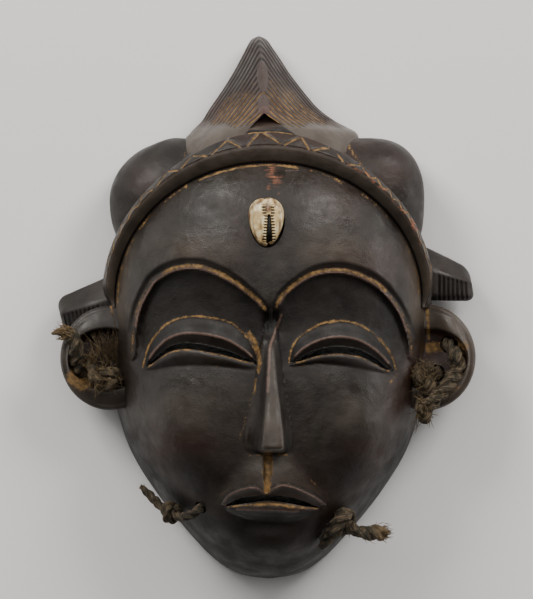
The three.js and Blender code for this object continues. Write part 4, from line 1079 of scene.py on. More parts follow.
# Painted shade where the face sinks below its smooth skin, in the sockets and the cuts
sunk = clamp01((skin(x, y) - z - 0.5) / 3) * (y < 26)
# Painted shade from the sunk places, the shade lines, the brow steps and the hollow at the root of the nose
shade = np.maximum.reduce([0.66 * sunk, 0.75 * drawn(x, y, shades), drawn(x, y, grooves),
                           0.95 * np.exp(-((x - 0.5) / 5) ** 4 - ((y + 8) / 9.5) ** 4)])
nose_ridge, nose_wall, _, _, nose_x = (read(table, y) for table in nose_tables)
off_nose = np.abs(x - nose_x)
on_nose = (y < -2) & (y > -70)
on_ridge = ease((nose_ridge + 0.3 - off_nose) / 0.9) * on_nose
on_wall = ease((off_nose - nose_ridge) / 1.2) * ease((nose_wall + 1.5 - off_nose) / 1.5) * on_nose
# The nose ridge is kept clear of the painted shade, and its walls get painted shade
shade = np.maximum(shade * (1 - 0.8 * on_ridge * ease((-y - 16) / 8)), 0.5 * on_wall)
# Painted shade on the lower cheeks, below the mouth, on the low edges of the face and in a patch on the left
# forehead that dims its sheen
low_cheeks = mound(x, y, -38, -78, 19, 13) + mound(x, y, 42, -78, 19, 13)
shade = np.maximum.reduce([
    shade, 0.75 * ease((-y - 92) / 14) * (1 - 0.6 * clamp01((z - skin(x, y)) / 3)),
    0.95 * ease((64 - z) / 32) * ease((-y - 46) / 22), 0.85 * low_cheeks.clip(0, 1),
    0.35 * mound(x, y, -32, 47, 12, 9)])
# Painted sheen on the temples, the muzzle, the cheeks, the nose ridge and the forehead
temples = ease((np.abs(x) / half_width(y) - 0.8) / 0.12) * ease((y + 14) / 14) * ease((60 - y) / 14)
muzzle_half = mix(24, 10, clamp01((y + 90) / 22))
muzzle_near = np.exp(-((x - 1) / muzzle_half) ** 4) * ease((y + 96) / 4) * ease((-68 - y) / 3)
pale = np.maximum.reduce([
    0.5 * mound(x, y, -42, -50, 15, 10) + 0.5 * mound(x, y, 42, -51, 15, 9), temples, 0.55 * muzzle_near,
    0.6 * on_ridge * ease((-y - 16) / 10), 0.75 * mound(x, y, -36, 28, 17, 8),
    0.7 * mound(x, y, 29, 28, 17, 8)])
rust = (mound(x, y, -41, -70, 17, 10) + mound(x, y, 46, -72, 14, 10) + 0.7 * mound(x, y, 52, 20, 14, 12)
        + 0.5 * mound(x, y, 14, -116, 20, 12))
# The edge number holds rubbed raised edges and painted highlight lines. The dark number holds painted shade in
# corners, inside the hollow and over the shaded places above.
clay(face, ochre=ochre * outer, chip=chip * outer, rust=0.5 * rust * outer, pale=pale * outer,
     wear=np.maximum(0.25 * clamp01(relief / 0.5 - 0.3), drawn(x, y, rims)) * outer * (z > 25),
     soot=np.maximum.reduce([0.8 * clamp01(-relief / 1.1), 1 - outer, shade]))


# Band: a raised rib of hair round the forehead, pressed on and cut with a zigzag that was
# filled with ochre. Its outer edge has chipped to the bare clay on the right.
BAND_RIDGE, BAND_OUTER = (80, 74.6), (81.8, 77.4)
BAND_ENDS = (-3, 183)
BAND_RISE, BAND_FALL = 5.0, (8.4, 3.8)
ZIGZAG_DEPTH, ZIGZAG_HALF = 0.6, 1.0
ZIGZAG = [  # each stroke: from this angle and share of the facet to that
    [8, 0.15, 12, 0.85], [12.6, 0.85, 16, 0.15], [16.4, 0.2, 20.2, 0.85], [20.8, 0.85, 23.6, 0.12],
    [23.9, 0.15, 26.6, 0.9], [27, 0.88, 30, 0.2], [30.4, 0.2, 33.3, 0.92], [33.7, 0.9, 36, 0.1],
    [36.3, 0.15, 38.5, 0.9], [39, 0.85, 41.1, 0.1], [41.5, 0.1, 43.7, 0.85], [44.2, 0.85, 46.3, 0.15],
    [46.6, 0.15, 49.5, 0.85], [50, 0.85, 52.2, 0.08], [52.6, 0.1, 55.9, 0.85], [57, 0.88, 61, 0.05],
    [63, 0.05, 65.5, 0.6], [69, 0.85, 74.3, 0.08], [75.8, 0.05, 78.6, 0.9], [79.3, 0.88, 84.5, 0.12],
    [86, 0.2, 91.9, 0.95], [93.3, 0.95, 97.3, 0.08], [99.9, 0.08, 104.1, 0.85], [104.8, 0.8, 110.2, 0.06],
    [111.9, 0.06, 116.5, 0.8], [117.7, 0.8, 122, 0.05], [123, 0.05, 126.4, 0.85], [128, 0.8, 133, 0.05],
    [134.4, 0.05, 137.9, 0.9], [138.8, 0.9, 142, 0.1], [142.4, 0.1, 145, 0.85], [145.6, 0.85, 148.4, 0.1],
    [148.8, 0.1, 151.6, 0.9], [152.2, 0.85, 155, 0.1], [155.4, 0.12, 158, 0.85], [158.5, 0.8, 161, 0.2],
    [161.5, 0.2, 164.5, 0.8], [165.2, 0.8, 168, 0.2], [168.5, 0.2, 172, 0.8]]
degrees = np.linspace(*BAND_ENDS, 780)
ridge_line, inner_line = band_line(BAND_RIDGE, degrees), band_line(BAND_INNER, degrees)
outer_line = band_line(BAND_OUTER, degrees, BAND_PEAK)
up = clamp01(np.sin(np.radians(degrees)))
band_way = run(ridge_line)
inner_level = skin(*inner_line.T)
ridge_level = inner_level + BAND_RISE
outer_level = ridge_level - mix(*BAND_FALL, up)
foot_level = np.maximum(4, mix(4, ridge_level - 26, up))
fade_ends = ease((degrees - BAND_ENDS[0]) / 9) * ease((BAND_ENDS[1] - degrees) / 9)
ridge_line = mix(inner_line, ridge_line, mix(0.35, 1, fade_ends)[:, None])
outer_line = mix(inner_line, outer_line, mix(0.6, 1, fade_ends)[:, None])
ridge_level = mix(inner_level + 0.2, ridge_level, fade_ends)
outer_level = mix(inner_level - 6, outer_level, fade_ends)
facet = np.hypot(np.linalg.norm(outer_line - ridge_line, axis=1), ridge_level - outer_level)
strokes = [(np.interp(start, degrees, band_way), low, np.interp(end, degrees, band_way), high)
           for start, low, end, high in ZIGZAG]
band_rings, band_marks = [], []
profile_in, profile_out = np.linspace(0, 1, 13), np.linspace(0, 1, 20)
for i in range(len(degrees)):
    inner3 = np.array([*inner_line[i], inner_level[i] + 0.5])
    ridge3 = np.array([*ridge_line[i], ridge_level[i]])
    outer3 = np.array([*outer_line[i], outer_level[i]])
    outward = ridge_line[i] - inner_line[i]
    outward = np.array([*outward / np.linalg.norm(outward), 0])
    inside = mix(inner3, ridge3, profile_in[:, None])
    inside[:, 2] += 0.7 * np.sin(np.pi * profile_in)
    inside[:, 2] -= 1.0 * np.exp(-((profile_in - 0.02) / 0.05) ** 2)
    outside = mix(ridge3, outer3, profile_out[:, None])
    outside[:, 2] += 0.35 * np.sin(np.pi * profile_out)
    w = profile_out * facet[i]
    depth = np.zeros_like(w)
    for ax, ay, bx, by in strokes:
        if ax - 2 < band_way[i] < bx + 2:
            ay, by = ay * facet[i], by * facet[i]
            square = (bx - ax) ** 2 + (by - ay) ** 2
            t = clamp01(((band_way[i] - ax) * (bx - ax) + (w - ay) * (by - ay)) / square)
            off = np.hypot(band_way[i] - mix(ax, bx, t), w - mix(ay, by, t))
            depth = np.maximum(depth, clamp01(1 - off / ZIGZAG_HALF))
    outside -= depth[:, None] * ZIGZAG_DEPTH * np.array([*outward[:2] * 0.7, 0.7])
    soften = np.exp(-(profile_in[::-1] / 0.09) ** 2) * 0.5
    inside[:, 2] -= soften
    outside[:, 2] -= np.exp(-(profile_out / 0.06) ** 2) * 0.5
    foot3 = np.array([*band_line([h - 1 for h in BAND_OUTER], degrees[i], BAND_PEAK), foot_level[i]])
    wall = [mix(outer3, foot3, t) for t in (0.06, 0.2, 0.4, 0.6, 0.8, 1.0)]
    back = [np.array([*band_line([h - 2.5 for h in BAND_INNER], degrees[i]), z]) for z in (
        foot_level[i], mix(foot_level[i], inner_level[i], 0.5), inner_level[i] - 2)]
    band_rings.append(np.vstack([inside, outside[1:], wall, back]))
    marks = np.zeros((len(band_rings[-1]), 3))
    ochre_mark, wear_mark, soot_mark = marks.T
    at_ridge, at_edge = len(inside) - 1, len(inside) + len(outside) - 2
    # Painted shade along the band's foot, and painted highlight lines on its ridge and outer edge
    soot_mark[:2] = 1.0
    ochre_mark[at_ridge + 1:at_edge + 1] = depth[1:]
    wear_mark[at_ridge], wear_mark[at_edge] = 0.7, 0.9
    if 82 < degrees[i] < 97:
        ochre_mark[at_edge - 1:at_edge + 1] = 0.8
    band_marks.append(marks)
band = closed("mask_band", band_rings)
band_ochre, band_wear, band_soot = np.array(band_marks).reshape(-1, 3).T
bx, by, bz = places(band).T
band_chips = [
    (rail([(38, 69.8), (41, 68.2), (45, 65.8)], 6), 1.2, 0.72), ([(47.5, 65), (50.8, 61.6)], 1.5, 0.75),
    ([(53.6, 58.9), (56.8, 56.8)], 1.3, 0.6), ([(59.4, 53.4), (61.4, 50.8)], 1.0, 0.6),
    ([(63.6, 49), (66.6, 46.4)], 1.3, 0.7), ([(69.4, 43), (71.6, 38.6)], 1.9, 0.95),
    ([(73, 34), (74.2, 31.6)], 1.0, 0.6)]
# Painted sheen on the inner facet, which faces away from the light
on_inside = np.arange(len(bx)) % len(band_rings[0]) < len(profile_in) - 1
clay(band, ochre=band_ochre, wear=band_wear, soot=band_soot, chip=drawn(bx, by, band_chips) * (bz > 20),
     pale=on_inside * mix(1.0, 0.7, clamp01((by - 10) / 60)) * (1 - band_soot))


# Crest: a tall peak of combed hair over the forehead, with nested grooves up to its front ridge
# and a small dark recess under the ridge's foot. It is hollow behind.
CREST = [  # y, half width, x of its middle, height of its edges, height of its ridge, roundness
    [62, 46, 0, 34, 60, 2.2], [79, 44.5, 0.5, 26, 60, 2], [86.4, 40.8, 2.4, 20, 61.4, 1.6],
    [89, 37.4, 1.4, 18, 62.2, 1.35], [92.4, 32.6, -0.1, 17, 61.6, 1.15], [98.2, 27, -2.2, 16.5, 57.4, 1],
    [104.1, 22.3, -2.8, 15.8, 52, 1], [110, 18, -3.2, 15.2, 47, 1], [115.9, 14, -3.6, 14.7, 42.2, 1],
    [121.8, 10.5, -3.9, 14.1, 37.2, 1], [126, 8, -4.2, 13.7, 33.4, 1], [128.7, 6.4, -4.5, 13.4, 30.6, 1],
    [130.9, 5.1, -4.6, 13.2, 28, 1], [132.5, 3.9, -4.7, 13.1, 26, 1], [133.4, 2.7, -4.7, 13, 24.6, 1],
    [133.9, 1.6, -4.7, 13, 23.4, 1]]
RIDGE_X, RIDGE_Y = -2.4, (95, 133)
CREST_BACK, CREST_BACK_SHARE = 6, 0.86
COMB_PITCH, COMB_WIDEN = 1.5, 0.0345  # from groove to groove at the edge, and its growth for each millimetre
COMB_DEPTH, COMBED = 0.8, 12
COMB_SMOOTH = [(113, 8, 2.7), (98, 4.4, 2.8)]  # smooth wedges on the ridge: y, half height, half width
RECESS = [(-2.2, 94.4, 52.5), (-11.4, 85, 59.4), (12.4, 84.8, 59.4)]  # corners, with the floor's level there
CREST_ROWS = [(62, 84, 1.5), (84.2, 131, 0.42), (131, 133.8, 0.25)]  # from, to and spacing of the mesh's rows
CREST_HOLLOW = [[66, 30, 44], [78, 29, 44], [88, 24, 45], [97, 16, 40], [105, 9, 34], [111, 5, 28]]
crest_tables = [evened([[row[0], row[c]] for row in CREST], 1500) for c in range(1, 6)]


def crest_at(y, column):
    """A number of the crest's table at a level: its column, counted from 1"""
    return read(crest_tables[column - 1], y)


def ridge_x(y):
    return mix(RIDGE_X, crest_at(y, 2), clamp01((y - RIDGE_Y[0]) / (RIDGE_Y[1] - RIDGE_Y[0])))


def combed(x, y):
    """How deep in a comb groove each point of the crest lies, from 0 to 1, and which groove it is"""
    half, middle, ridge = crest_at(y, 1), crest_at(y, 2), ridge_x(y)
    left, right = middle + half - x, x - middle + half
    left, right = left * half / (middle + half - ridge), right * half / (ridge - middle + half)
    turn = 1.4
    inward = (-turn * np.log(np.exp(-left / turn) + np.exp(-right / turn))).clip(0)
    k = np.log(1 + COMB_WIDEN * inward) / (COMB_WIDEN * COMB_PITCH)
    stop = mix(91.6, 87.6, clamp01(k / COMBED)) + 0.8 * np.sin(7.3 * np.floor(k))
    smooth = np.zeros_like(x)
    for level, tall, wide in COMB_SMOOTH:
        taper = np.sqrt(clamp01(1 - ((y - level) / tall) ** 2))
        smooth = np.maximum(smooth, ease((taper * wide - np.abs(x - ridge)) / 0.7 + 0.5))
    wave = 0.5 - 0.5 * np.cos(2 * np.pi * k)
    return wave**1.7 * ease((y - stop) / 1.2) * (1 - smooth) * ease(k / 0.5), k


def crest_height(x, y):
    """Height of the crest over the rim, without its comb grooves"""
    side = np.where(x < ridge_x(y), -1, 1)
    reach = np.maximum(crest_at(y, 1) + side * (crest_at(y, 2) - ridge_x(y)), 0.1)
    t = clamp01(np.abs(x - ridge_x(y)) / reach)
    top = mix(crest_at(y, 4), crest_at(y, 3), t ** crest_at(y, 5))
    edge = np.abs(1 - t) * reach
    return top - 2.4 * (1 - np.sqrt(clamp01(1 - (1 - clamp01(edge / 2.4)) ** 2)))


crest_rows = np.concatenate([*[np.arange(*stretch) for stretch in CREST_ROWS], [133.75, 133.9]])
front = np.linspace(-1, 1, 361)
crest_rings = []
for y in crest_rows:
    half, middle, ridge = crest_at(y, 1), crest_at(y, 2), float(ridge_x(y))
    x = mix(ridge, middle + np.sign(front) * half, np.abs(front))
    row_y = np.full_like(x, y)
    z = crest_height(x, row_y) - COMB_DEPTH * combed(x, row_y)[0]
    if y > 130:
        z = z - 3 * ((y - 130) / 3.9) ** 2
    right, left = ([[middle + side * half * mix(1, CREST_BACK_SHARE, s**2), y, mix(edge_z, CREST_BACK, s)]
                    for s in np.linspace(0.12, 1, 8)] for side, edge_z in ((1, z[-1]), (-1, z[0])))
    crest_rings.append(np.vstack([np.stack([x, row_y, z], 1), right, left[::-1]]))
crest = closed("mask_crest", crest_rings)
crest_hollow_tool = closed("crest_hollow_tool", [
    np.array([[crest_at(y, 2) + u * half, y, z] for u, z in (
        (1, -1), (1, 14), (0.85, mix(14, high, 0.45)), (0.4, high), (-0.4, high),
        (-0.85, mix(14, high, 0.45)),
        (-1, 14), (-1, -1))]) for y, half, high in CREST_HOLLOW])
recess_tool = closed("recess_tool", [RECESS, [(rx, ry, 90) for rx, ry, _ in RECESS]])
cut(crest, crest_hollow_tool, hollow_tool, recess_tool)
cut(face, crest_hollow_tool)
x, y, z = places(crest).T
on_front = ease((z - crest_height(x, y) + 3) / 1.5)
depth_here, groove_here = combed(x, y)
ochre_share = clamp01((groove_here - 1.6) / 3) * np.where(
    x < ridge_x(y), 0.95 * clamp01((117 - y) / 20), clamp01((121 - y) / 20))
# Painted shade in the recess under the ridge's foot
by_recess = (z > 50) & (y > 84) & (y < 95)
recess_reach = 1.27 * (94.3 - y) - np.abs(x + 2.2 - 0.285 * (94.4 - y))
in_recess = np.maximum(
    clamp01((crest_height(x, y) - z - 0.6) / 2.4) * (by_recess & (y > 84.5) & (np.abs(x) < 13)),
    0.95 * by_recess * ease(recess_reach / 1.2))
# Painted shade on the hidden lower sides
hidden = (1 - on_front) * (z < 60) * (y < 84)
# Painted shade in the comb grooves, painted sheen on the plain shoulders, and painted highlights together with
# wear on the ridges between the grooves
clay(crest, 60, ochre=clamp01((depth_here - 0.4) / 0.5) * ochre_share * on_front,
     pale=clamp01((92 - y) / 4) * on_front * (1 - in_recess),
     soot=np.maximum.reduce([0.95 * depth_here**0.7 * on_front, 0.9 * hidden, in_recess]),
     rust=(1.4 * mound(x, y, -2.2, 94.6, 3.4, 3.4) + 0.5 * mound(x, y, -27, 98, 6, 6)
           + 0.25 * ease((y - 88) / 5)),
     wear=(0.3 + 0.2 * clamp01((y - 110) / 20)) * (1 - depth_here) * ease((y - 88) / 5) * on_front)


# Lobes: two rounded masses of hair behind the band, left and right of the crest, smooth and
# plain, each hollow underneath.
LOBES = {  # middle, half sizes, fullness, droop outside; ochre line with its width; red patches; painted shade
    "mask_lobe_left": ([-44, 51, 14], [34.6, 33.4, 30], 2.3, 2.2,
                       ([(-37.9, 82.3), (-40.5, 76), (-42.8, 69.2)], 1.2, 0.8),
                       [(-60, 62, 9), (-57, 40, 8)], 0.5),
    "mask_lobe_right": ([43, 51, 14], [34, 33.4, 30], 2.75, 0,
                        ([(36.6, 85.6), (39, 80), (42, 74.6), (45.4, 69.6)], 1.1, 0.85),
                        [(60, 66, 8), (48, 50, 9)], 0.3)}
LOBE_WALL = (8, 8, 5)
below_tool = prism("below_tool", [(-140, -150), (140, -150), (140, 150), (-140, 150)], -60, 0)
for name, (middle, half, power, droop, (line, line_half, strength), blush, soot) in LOBES.items():
    lobe_rings = np.array(fuller_ball(middle, half, power, 0, 130, 84))
    lx, ly, lz = np.moveaxis(lobe_rings, -1, 0)
    ly -= droop * ease((np.abs(lx) - 45) / 14) * clamp01((ly - middle[1]) / 15)
    dents = 0.5 * np.sin(lx / 6.3 + 1) * np.sin(ly / 7.4) + 0.35 * np.sin(lz / 4.7 + 2)
    outward = (lobe_rings - middle) / np.linalg.norm(lobe_rings - middle, axis=-1, keepdims=True)
    lobe_rings += outward * (0.7 * dents - 0.3)[..., None]
    lobe = closed(name, lobe_rings)
    inside_tool = closed("inside_tool", fuller_ball(
        [middle[0], middle[1], middle[2] - 4], [h - w for h, w in zip(half, LOBE_WALL)], 2.3, 0, 60, 36))
    cut(lobe, below_tool, inside_tool, hollow_tool)
    cut(face, inside_tool)
    cut(crest, inside_tool)
    bpy.data.objects.remove(inside_tool)
    x, y, z = places(lobe).T
    # Painted shade underneath each lobe, and a lighter painted shade over it that dims its sheen
    clay(lobe, ochre=drawn(x, y, [(rail(line, 12), line_half, strength)]), soot=np.where(z < 1, 1.0, soot),
         rust=0.55 * sum(mound(x, y, at_x, at_y, reach, reach) for at_x, at_y, reach in blush))


# Tresses: a bevelled block of hair at each temple, with upright ribs cut in its lower front.
TRESSES = {  # corners: inner top, outer top, outer foot, inner foot
    "mask_tress_left": [[-70, 19.5], [-104.8, 4.4], [-100.2, -12.5], [-70, -12.5]],
    "mask_tress_right": [[70, 33.5], [99, 19.4], [101.6, 3.4], [70, 3.8]]}
TRESS_FROM, TRESS_END_ROUND, TRESS_CORNER = 70, 4.5, 2.2
TRESS_POINTS = 110.001  # a little over the count of points in each ring
TRESS_Z, TRESS_BEVEL, TRESS_DROP = (7, 27), (0.4, 8), 4.5
RIB_PITCH, RIB_DEPTH, RIB_FROM = 2.3, 0.9, 82.4


def rounded(outline, spacing, radius):
    """A closed outline in even steps with its corners rounded"""
    outline = np.array(outline, float)
    outline = np.vstack([outline, outline[:1]])
    way = run(outline)
    count = int(way[-1] / spacing)
    even = np.linspace(0, way[-1], count, endpoint=False)
    points = np.stack([np.interp(even, way, outline[:, c]) for c in range(outline.shape[1])], 1)
    reach = max(1, int(radius / spacing))
    kernel = np.hanning(2 * reach + 3)[1:-1]
    kernel /= kernel.sum()
    return sum(weight * np.roll(points, shift, 0) for weight, shift in zip(kernel, range(-reach, reach + 1)))


for name, (in_top, out_top, out_low, in_low) in TRESSES.items():
    side = np.sign(out_top[0])
    end_x = max(abs(out_top[0]), abs(out_low[0]))
    lean = abs(out_top[0]) - abs(out_low[0])
    inset_from = end_x - TRESS_END_ROUND
    round_end = end_x - TRESS_END_ROUND * (1 - np.sin(np.linspace(0, 1, 14) * np.pi / 2)[:-1])
    rings = []
    for reach in (*np.arange(TRESS_FROM, inset_from, 0.45), *round_end, end_x - 0.02):
        t = (reach - TRESS_FROM) / (end_x - TRESS_FROM)
        top, low = mix(in_top[1], out_top[1], t), mix(in_low[1], out_low[1], t)
        front_z = TRESS_Z[1] - TRESS_DROP * t**1.6
        outline = [(low, TRESS_Z[0]), (low, front_z - 2.6), (mix(low, top, 0.1), front_z),
                   (mix(low, top, 1 - TRESS_BEVEL[0]), front_z),
                   (top, front_z - TRESS_BEVEL[1]), (top, TRESS_Z[0] + 2)]
        span = np.sum(np.linalg.norm(np.diff(np.array(outline + outline[:1]), axis=0), axis=1))
        ring = rounded(outline, span / TRESS_POINTS, TRESS_CORNER)
        centre = ring.mean(0)
        deep = max(0.0, reach - inset_from)
        inset = TRESS_END_ROUND - math.sqrt(max(0, TRESS_END_ROUND**2 - deep**2))
        ring = centre + (ring - centre) * (1 - inset / np.linalg.norm(ring - centre, axis=1))[:, None]
        share = (ring[:, 0] - low) / (top - low)
        face_side = ease((ring[:, 1] - front_z + 5) / 2)
        slant = reach - 0.05 * (ring[:, 0] - low)
        groove = 0.5 - 0.5 * np.cos(2 * np.pi * (slant - RIB_FROM) / RIB_PITCH)
        where = ease((1 - TRESS_BEVEL[0] - 0.06 - share) / 0.05) * face_side
        where = where * ease((slant - RIB_FROM + 0.5) / 0.6) * ease((end_x - 2.0 - slant) / 0.8)
        ring = ring - np.stack([0 * share, RIB_DEPTH * groove**1.5 * where], 1)
        leaning = t**2 * np.where(lean > 0, lean * (1 - share), -lean * share).clip(0)
        rings.append(np.stack([side * (reach - leaning), ring[:, 0], ring[:, 1]], 1))
    tress = closed(name, rings)
    cut(tress, hollow_tool)
    x, y, z = places(tress).T
    t = (np.abs(x) - TRESS_FROM) / (end_x - TRESS_FROM)
    edge_y = mix(mix(in_low[1], out_low[1], t), mix(in_top[1], out_top[1], t), 1 - TRESS_BEVEL[0])
    groove = 0.5 - 0.5 * np.cos(2 * np.pi * (np.abs(x) - RIB_FROM) / RIB_PITCH)
    in_front = (y < edge_y - 1) & (z > 12)
    # Painted shade on the ribbed front and towards the outer end, and painted highlight lines on the bevel's edge
    clay(tress, soot=np.where(in_front, 0.5 + 0.5 * groove, 0.55 * ease((np.abs(x) - 84) / 8)),
         wear=0.3 * clamp01(1 - np.abs(y - edge_y) / 0.8) * (z > 18))


# Ears: a thick round flap at each side with a sunk bowl, pierced for the cords. Ochre is left
# in the bowls.
EARS = {"mask_ear_left": [-77.5, -24.4, 24.6, 25.6], "mask_ear_right": [77, -24.2, 24.6, 26]}
EAR_Z, EAR_FLOOR = (16, 34), 27
EAR_LIP, EAR_ROUND, EAR_FOOT = 0.9, 2.6, 3  # rounding of the bowl's lip, of the outer edge and of the foot
BOWL_OUT, BOWL_UP, BOWL_HALF = 2, -0.7, (18.6, 14.8)
EAR_SINK = [0, 0.52]  # share of its thickness that each ear loses towards the face
EAR_OCHRE = {
    "mask_ear_left": [([(-95.4, -34), (-90, -36.6)], 6.4, 1.3), ([(-88, -17), (-83, -21.6)], 3.6, 0.5),
                      ([(-77.6, 3.4), (-76.6, -2)], 1.6, 0.8)],
    "mask_ear_right": [([(79.8, -19.2), (84, -18.6)], 4.2, 1.2), ([(91.4, -17), (95.6, -18.6)], 4.0, 0.85),
                       ([(90, -40.4), (93, -39)], 2.0, 0.7),
                       (rail([(78, 0), (78.4, -8), (78.8, -15)], 10), 1.4, 1.0)]}


def ear_kept(x, y, side):
    """Share of its thickness that an ear keeps: the right one thins towards the face above its knot"""
    return 1 - EAR_SINK[side > 0] * ease((94 - np.abs(x)) / 18) * ease((y + 30) / 12)


hole_levels = np.linspace(EAR_Z[0] - 4, EAR_Z[1] + 4, 24)
hole_tool = round_tool("hole_tool", np.array([[*EAR_HOLE[:2], z] for z in hole_levels]),
                       mix(EAR_HOLE[3], EAR_HOLE[2], ease((hole_levels - 20) / 7)) / 2)
turn = np.linspace(0, 2 * np.pi, 200, endpoint=False)


def oval(x, y, a, b, z):
    """A level oval ring about a place, by its two half sizes"""
    return np.stack([x + a * np.cos(turn), y + b * np.sin(turn), np.full_like(turn, z)], 1)


for name, (ex, ey, ea, eb) in EARS.items():
    side = np.sign(ex)
    cx, cy = ex + side * BOWL_OUT, ey + BOWL_UP
    floor_half = [h - EAR_ROUND for h in BOWL_HALF]
    rings = [oval(cx, cy, s * floor_half[0], s * floor_half[1], EAR_FLOOR + 0.5 * s**4)
             for s in np.linspace(0.03, 1, 26)]
    for s in np.linspace(0, 1, 9)[1:]:
        wall_half = [h - EAR_ROUND * (1 - s) ** 2 for h in BOWL_HALF]
        rings.append(oval(cx, cy, *wall_half, mix(EAR_FLOOR + 0.5, EAR_Z[1] - EAR_LIP, s)))
    lip_inner, lip_outer = oval(cx, cy, *BOWL_HALF, 0), oval(ex, ey, ea - EAR_ROUND, eb - EAR_ROUND, 0)
    for s in np.linspace(0, 1, 16):
        ring = mix(lip_inner, lip_outer, s)
        ring[:, 2] = EAR_Z[1] - EAR_LIP * (1 - clamp01(s / 0.12)) ** 2 - EAR_ROUND * s**2
        rings.append(ring)
    top_edge = EAR_Z[1] - EAR_ROUND
    for s in np.linspace(0, np.pi / 2, 8)[1:]:
        inset, drop = EAR_ROUND * (1 - math.sin(s)), EAR_ROUND * (1 - math.cos(s))
        rings.append(oval(ex, ey, ea - inset, eb - inset, top_edge - drop))
    for z in np.linspace(top_edge - EAR_ROUND - 1, EAR_Z[0] + EAR_FOOT, 8):
        rings.append(oval(ex, ey, ea, eb, z))
    for s in np.linspace(0, np.pi / 2, 7)[1:]:
        inset, rise = EAR_FOOT * (1 - math.cos(s)), EAR_FOOT * (1 - math.sin(s))
        rings.append(oval(ex, ey, ea - inset, eb - inset, EAR_Z[0] + rise))
    rings += [oval(ex, ey, s * (ea - EAR_FOOT), s * (eb - EAR_FOOT), EAR_Z[0]) for s in (0.7, 0.35, 0.05)]
    for ring in rings:
        ring[:, 2] = mix(EAR_Z[0], ring[:, 2], ear_kept(ring[:, 0], ring[:, 1], side))
    ear = closed(name, rings)
    ear_bores = bore_tools[name.replace("mask", "cord")]
    cut(ear, hollow_tool, *ear_bores)
    if side < 0:
        cut(ear, hole_tool)
    x, y, z = places(ear).T
    z = EAR_Z[0] + (z - EAR_Z[0]) / ear_kept(x, y, side)
    over_floor = z > EAR_FLOOR - 0.5
    bowl = np.hypot((x - cx) / BOWL_HALF[0], (y - cy) / BOWL_HALF[1]) < 0.97
    bowl = bowl & (z < EAR_Z[1] - 1.5) & over_floor
    # Painted shade in the bowl and on the left ear's top, and painted sheen on the flaps
    clay(ear, ochre=drawn(x, y, EAR_OCHRE[name]) * over_floor, rust=0.5 * bowl,
         soot=np.maximum(0.5 * bowl, 0.2 * (y > -12) * (side < 0)),
         pale=(0.05 + 0.4 * (y < -20) if side < 0 else 0.75) * (1 - bowl))
    for tool in ear_bores:
        bpy.data.objects.remove(tool)

for tool in (hollow_tool, crest_hollow_tool, recess_tool, below_tool, seat_tool, hole_tool, *slit_tools,
             *bore_tools["cord_jaw_left"], *bore_tools["cord_jaw_right"]):
    bpy.data.objects.remove(tool)


# Cowrie: a money cowrie set mouth outward in the forehead, ivory with amber stains, its long
# mouth lined with teeth.
SHELL_EGG, TEETH_PITCH = 0.27, 1.4
CHANNEL_TOP, SLIT_START, SLIT_END = 52.4, 45.4, 30.4
rows_count, columns_count = 200, 170
front_share = np.linspace(-1, 1, columns_count, endpoint=False)
turn = np.pi * (0.62 * front_share + 0.38 * front_share**3)


def shell_mouth(x, y):
    """The shell's mouth: distance from its middle, half width, how open or grooved, and the teeth beside it"""
    open_share = clamp01((SLIT_START - y) / 11)
    off = np.abs(x - mix(-0.3, 0.35, ease((50 - y) / 8)))
    gap = mix(0.5, 1.35, open_share) * ease((y - SLIT_END) / 1.1)
    is_open = ease((SLIT_START - y) / 1.2) * ease((y - SLIT_END) / 0.6)
    channel = ease((CHANNEL_TOP - y) / 1.6) * ease((y - SLIT_START + 1) / 1.2)
    first = mix(1.25, gap - 0.15, is_open)
    beside = ease((off - first + 0.2) / 0.3) * ease((first + 2.2 - off) / 0.8)
    beside = beside * ease((50.2 - y) / 1.2) * ease((y - 31.6) / 1)
    return off, gap, is_open, channel, beside


cowrie_rings = []
for latitude in np.linspace(-0.985, 0.985, rows_count) * np.pi / 2:
    u, w = math.cos(latitude) * np.sin(turn), math.cos(latitude) * np.cos(turn)
    v = np.full(columns_count, math.sin(latitude))
    r = (np.abs(u) ** COWRIE_POWER + np.abs(v) ** COWRIE_POWER + np.abs(w) ** COWRIE_POWER) ** (-1 / COWRIE_POWER)
    x = COWRIE_AT[0] - 0.4 + COWRIE_HALF[0] * u * r * (1 + SHELL_EGG * v * r)
    y = COWRIE_AT[1] + COWRIE_HALF[1] * v * r
    z = COWRIE_AT[2] + COWRIE_HALF[2] * w * r
    y = y + 1.5 * np.exp(-(((x - 0.2) / 0.9) ** 2)) * ease((-v - 0.86) / 0.1)
    y = y - 0.6 * np.exp(-(((x + 2) / 1.0) ** 2)) * ease((v - 0.86) / 0.1)
    off, gap, is_open, channel, beside = shell_mouth(x, y)
    lips = 0.4 * np.exp(-(((off - gap - 1.6) / 1.3) ** 2))
    valley = -2.6 * is_open * ease((gap + 0.35 - off) / 0.5) - 0.9 * channel * np.exp(-((off / 1.5) ** 2))
    teeth = 0.42 * np.cos(2 * np.pi * y / TEETH_PITCH) * beside
    z = z + (lips + valley + teeth) * (w > 0.15)
    cowrie_rings.append(np.stack([x, y, z], 1))
cowrie = closed("cowrie_shell", cowrie_rings)


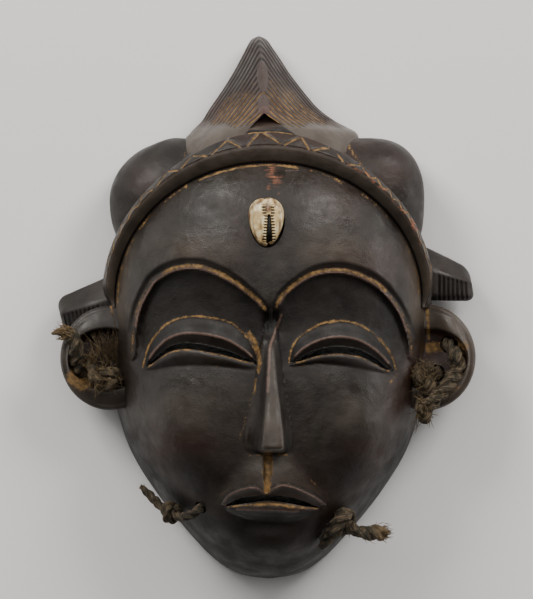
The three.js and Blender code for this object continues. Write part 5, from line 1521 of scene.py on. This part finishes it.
def shell_material():
    """Ivory shell with amber stains and painted shade at its sides and foot; its open mouth and the gaps between
    its teeth are painted dark as shade
    """
    material, nodes, links, shader = principled("cowrie_ivory", Roughness=0.3)
    stain_and_shade = nodes.new("ShaderNodeAttribute")
    stain_and_shade.attribute_name = "stain_and_shade"
    dark = nodes.new("ShaderNodeAttribute")
    dark.attribute_name = "mouth"
    body = blend(nodes, links, spots(nodes, links, 300, 4), (0.60, 0.43, 0.20, 1), (0.88, 0.74, 0.44, 1))
    streaks = spots(nodes, links, 560, 4, 0.3, 0.7, (1, 0.22, 1))
    amber = nodes.new("ShaderNodeMath")
    amber.operation = "MULTIPLY_ADD"
    links.new(streaks, amber.inputs[0])
    amber.inputs[1].default_value = 0.8
    links.new(stain_and_shade.outputs["Fac"], amber.inputs[2])
    spread = nodes.new("ShaderNodeMapRange")
    spread.inputs["From Min"].default_value, spread.inputs["From Max"].default_value = 0.62, 1.35
    links.new(amber.outputs["Value"], spread.inputs["Value"])
    # Amber stains together with painted shade at the shell's sides and foot
    body = blend(nodes, links, spread.outputs["Result"], body, (0.155, 0.078, 0.026, 1))
    # Painted shade in the open mouth and between the teeth
    body = blend(nodes, links, dark.outputs["Fac"], body, (0.010, 0.007, 0.005, 1))
    links.new(body, shader.inputs["Base Color"])
    bump = nodes.new("ShaderNodeBump")
    bump.inputs["Strength"].default_value = 0.15
    bump.inputs["Distance"].default_value = 0.0002
    links.new(spots(nodes, links, 500, 3), bump.inputs["Height"])
    links.new(bump.outputs["Normal"], shader.inputs["Normal"])
    return material


x, y, z = places(cowrie).T
off, gap, is_open, channel, beside = shell_mouth(x, y)
on_top = z > 78
between = ease(1.5 * (0.5 - 0.5 * np.cos(2 * np.pi * y / TEETH_PITCH)) - 0.25)
# Painted shade: the open mouth and the gaps between the teeth
note(cowrie, "mouth", np.maximum(is_open * ease((gap + 0.3 - off) / 0.35), 0.92 * beside * between) * on_top)
stains = [(-4.1, 41, 1.0, 5.5, 0.8), (5.4, 46.2, 1.2, 1.4, 0.9), (5.9, 40, 1.2, 5, 0.75),
          (-5.4, 50, 2.4, 1.6, 0.7), (-0.4, 48, 1.6, 3.6, 1.5), (-3, 33, 2.4, 2.6, 0.55), (4, 33, 1.6, 3, 0.6)]
edge_share = np.hypot((x - COWRIE_AT[0]) / COWRIE_HALF[0], (y - COWRIE_AT[1]) / COWRIE_HALF[1])
# Real amber stains, with painted shade towards the shell's foot and round its sides
note(cowrie, "stain_and_shade", np.maximum.reduce([
    0.8 * ease((80.4 - z) / 3), 0.62 * ease((edge_share - 0.62) / 0.34),
    sum(strength * mound(x, y, *patch) for *patch, strength in stains)]))
cowrie.data.materials.append(shell_material())
cowrie.data.shade_smooth()
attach(cowrie, "root")
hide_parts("cowrie")
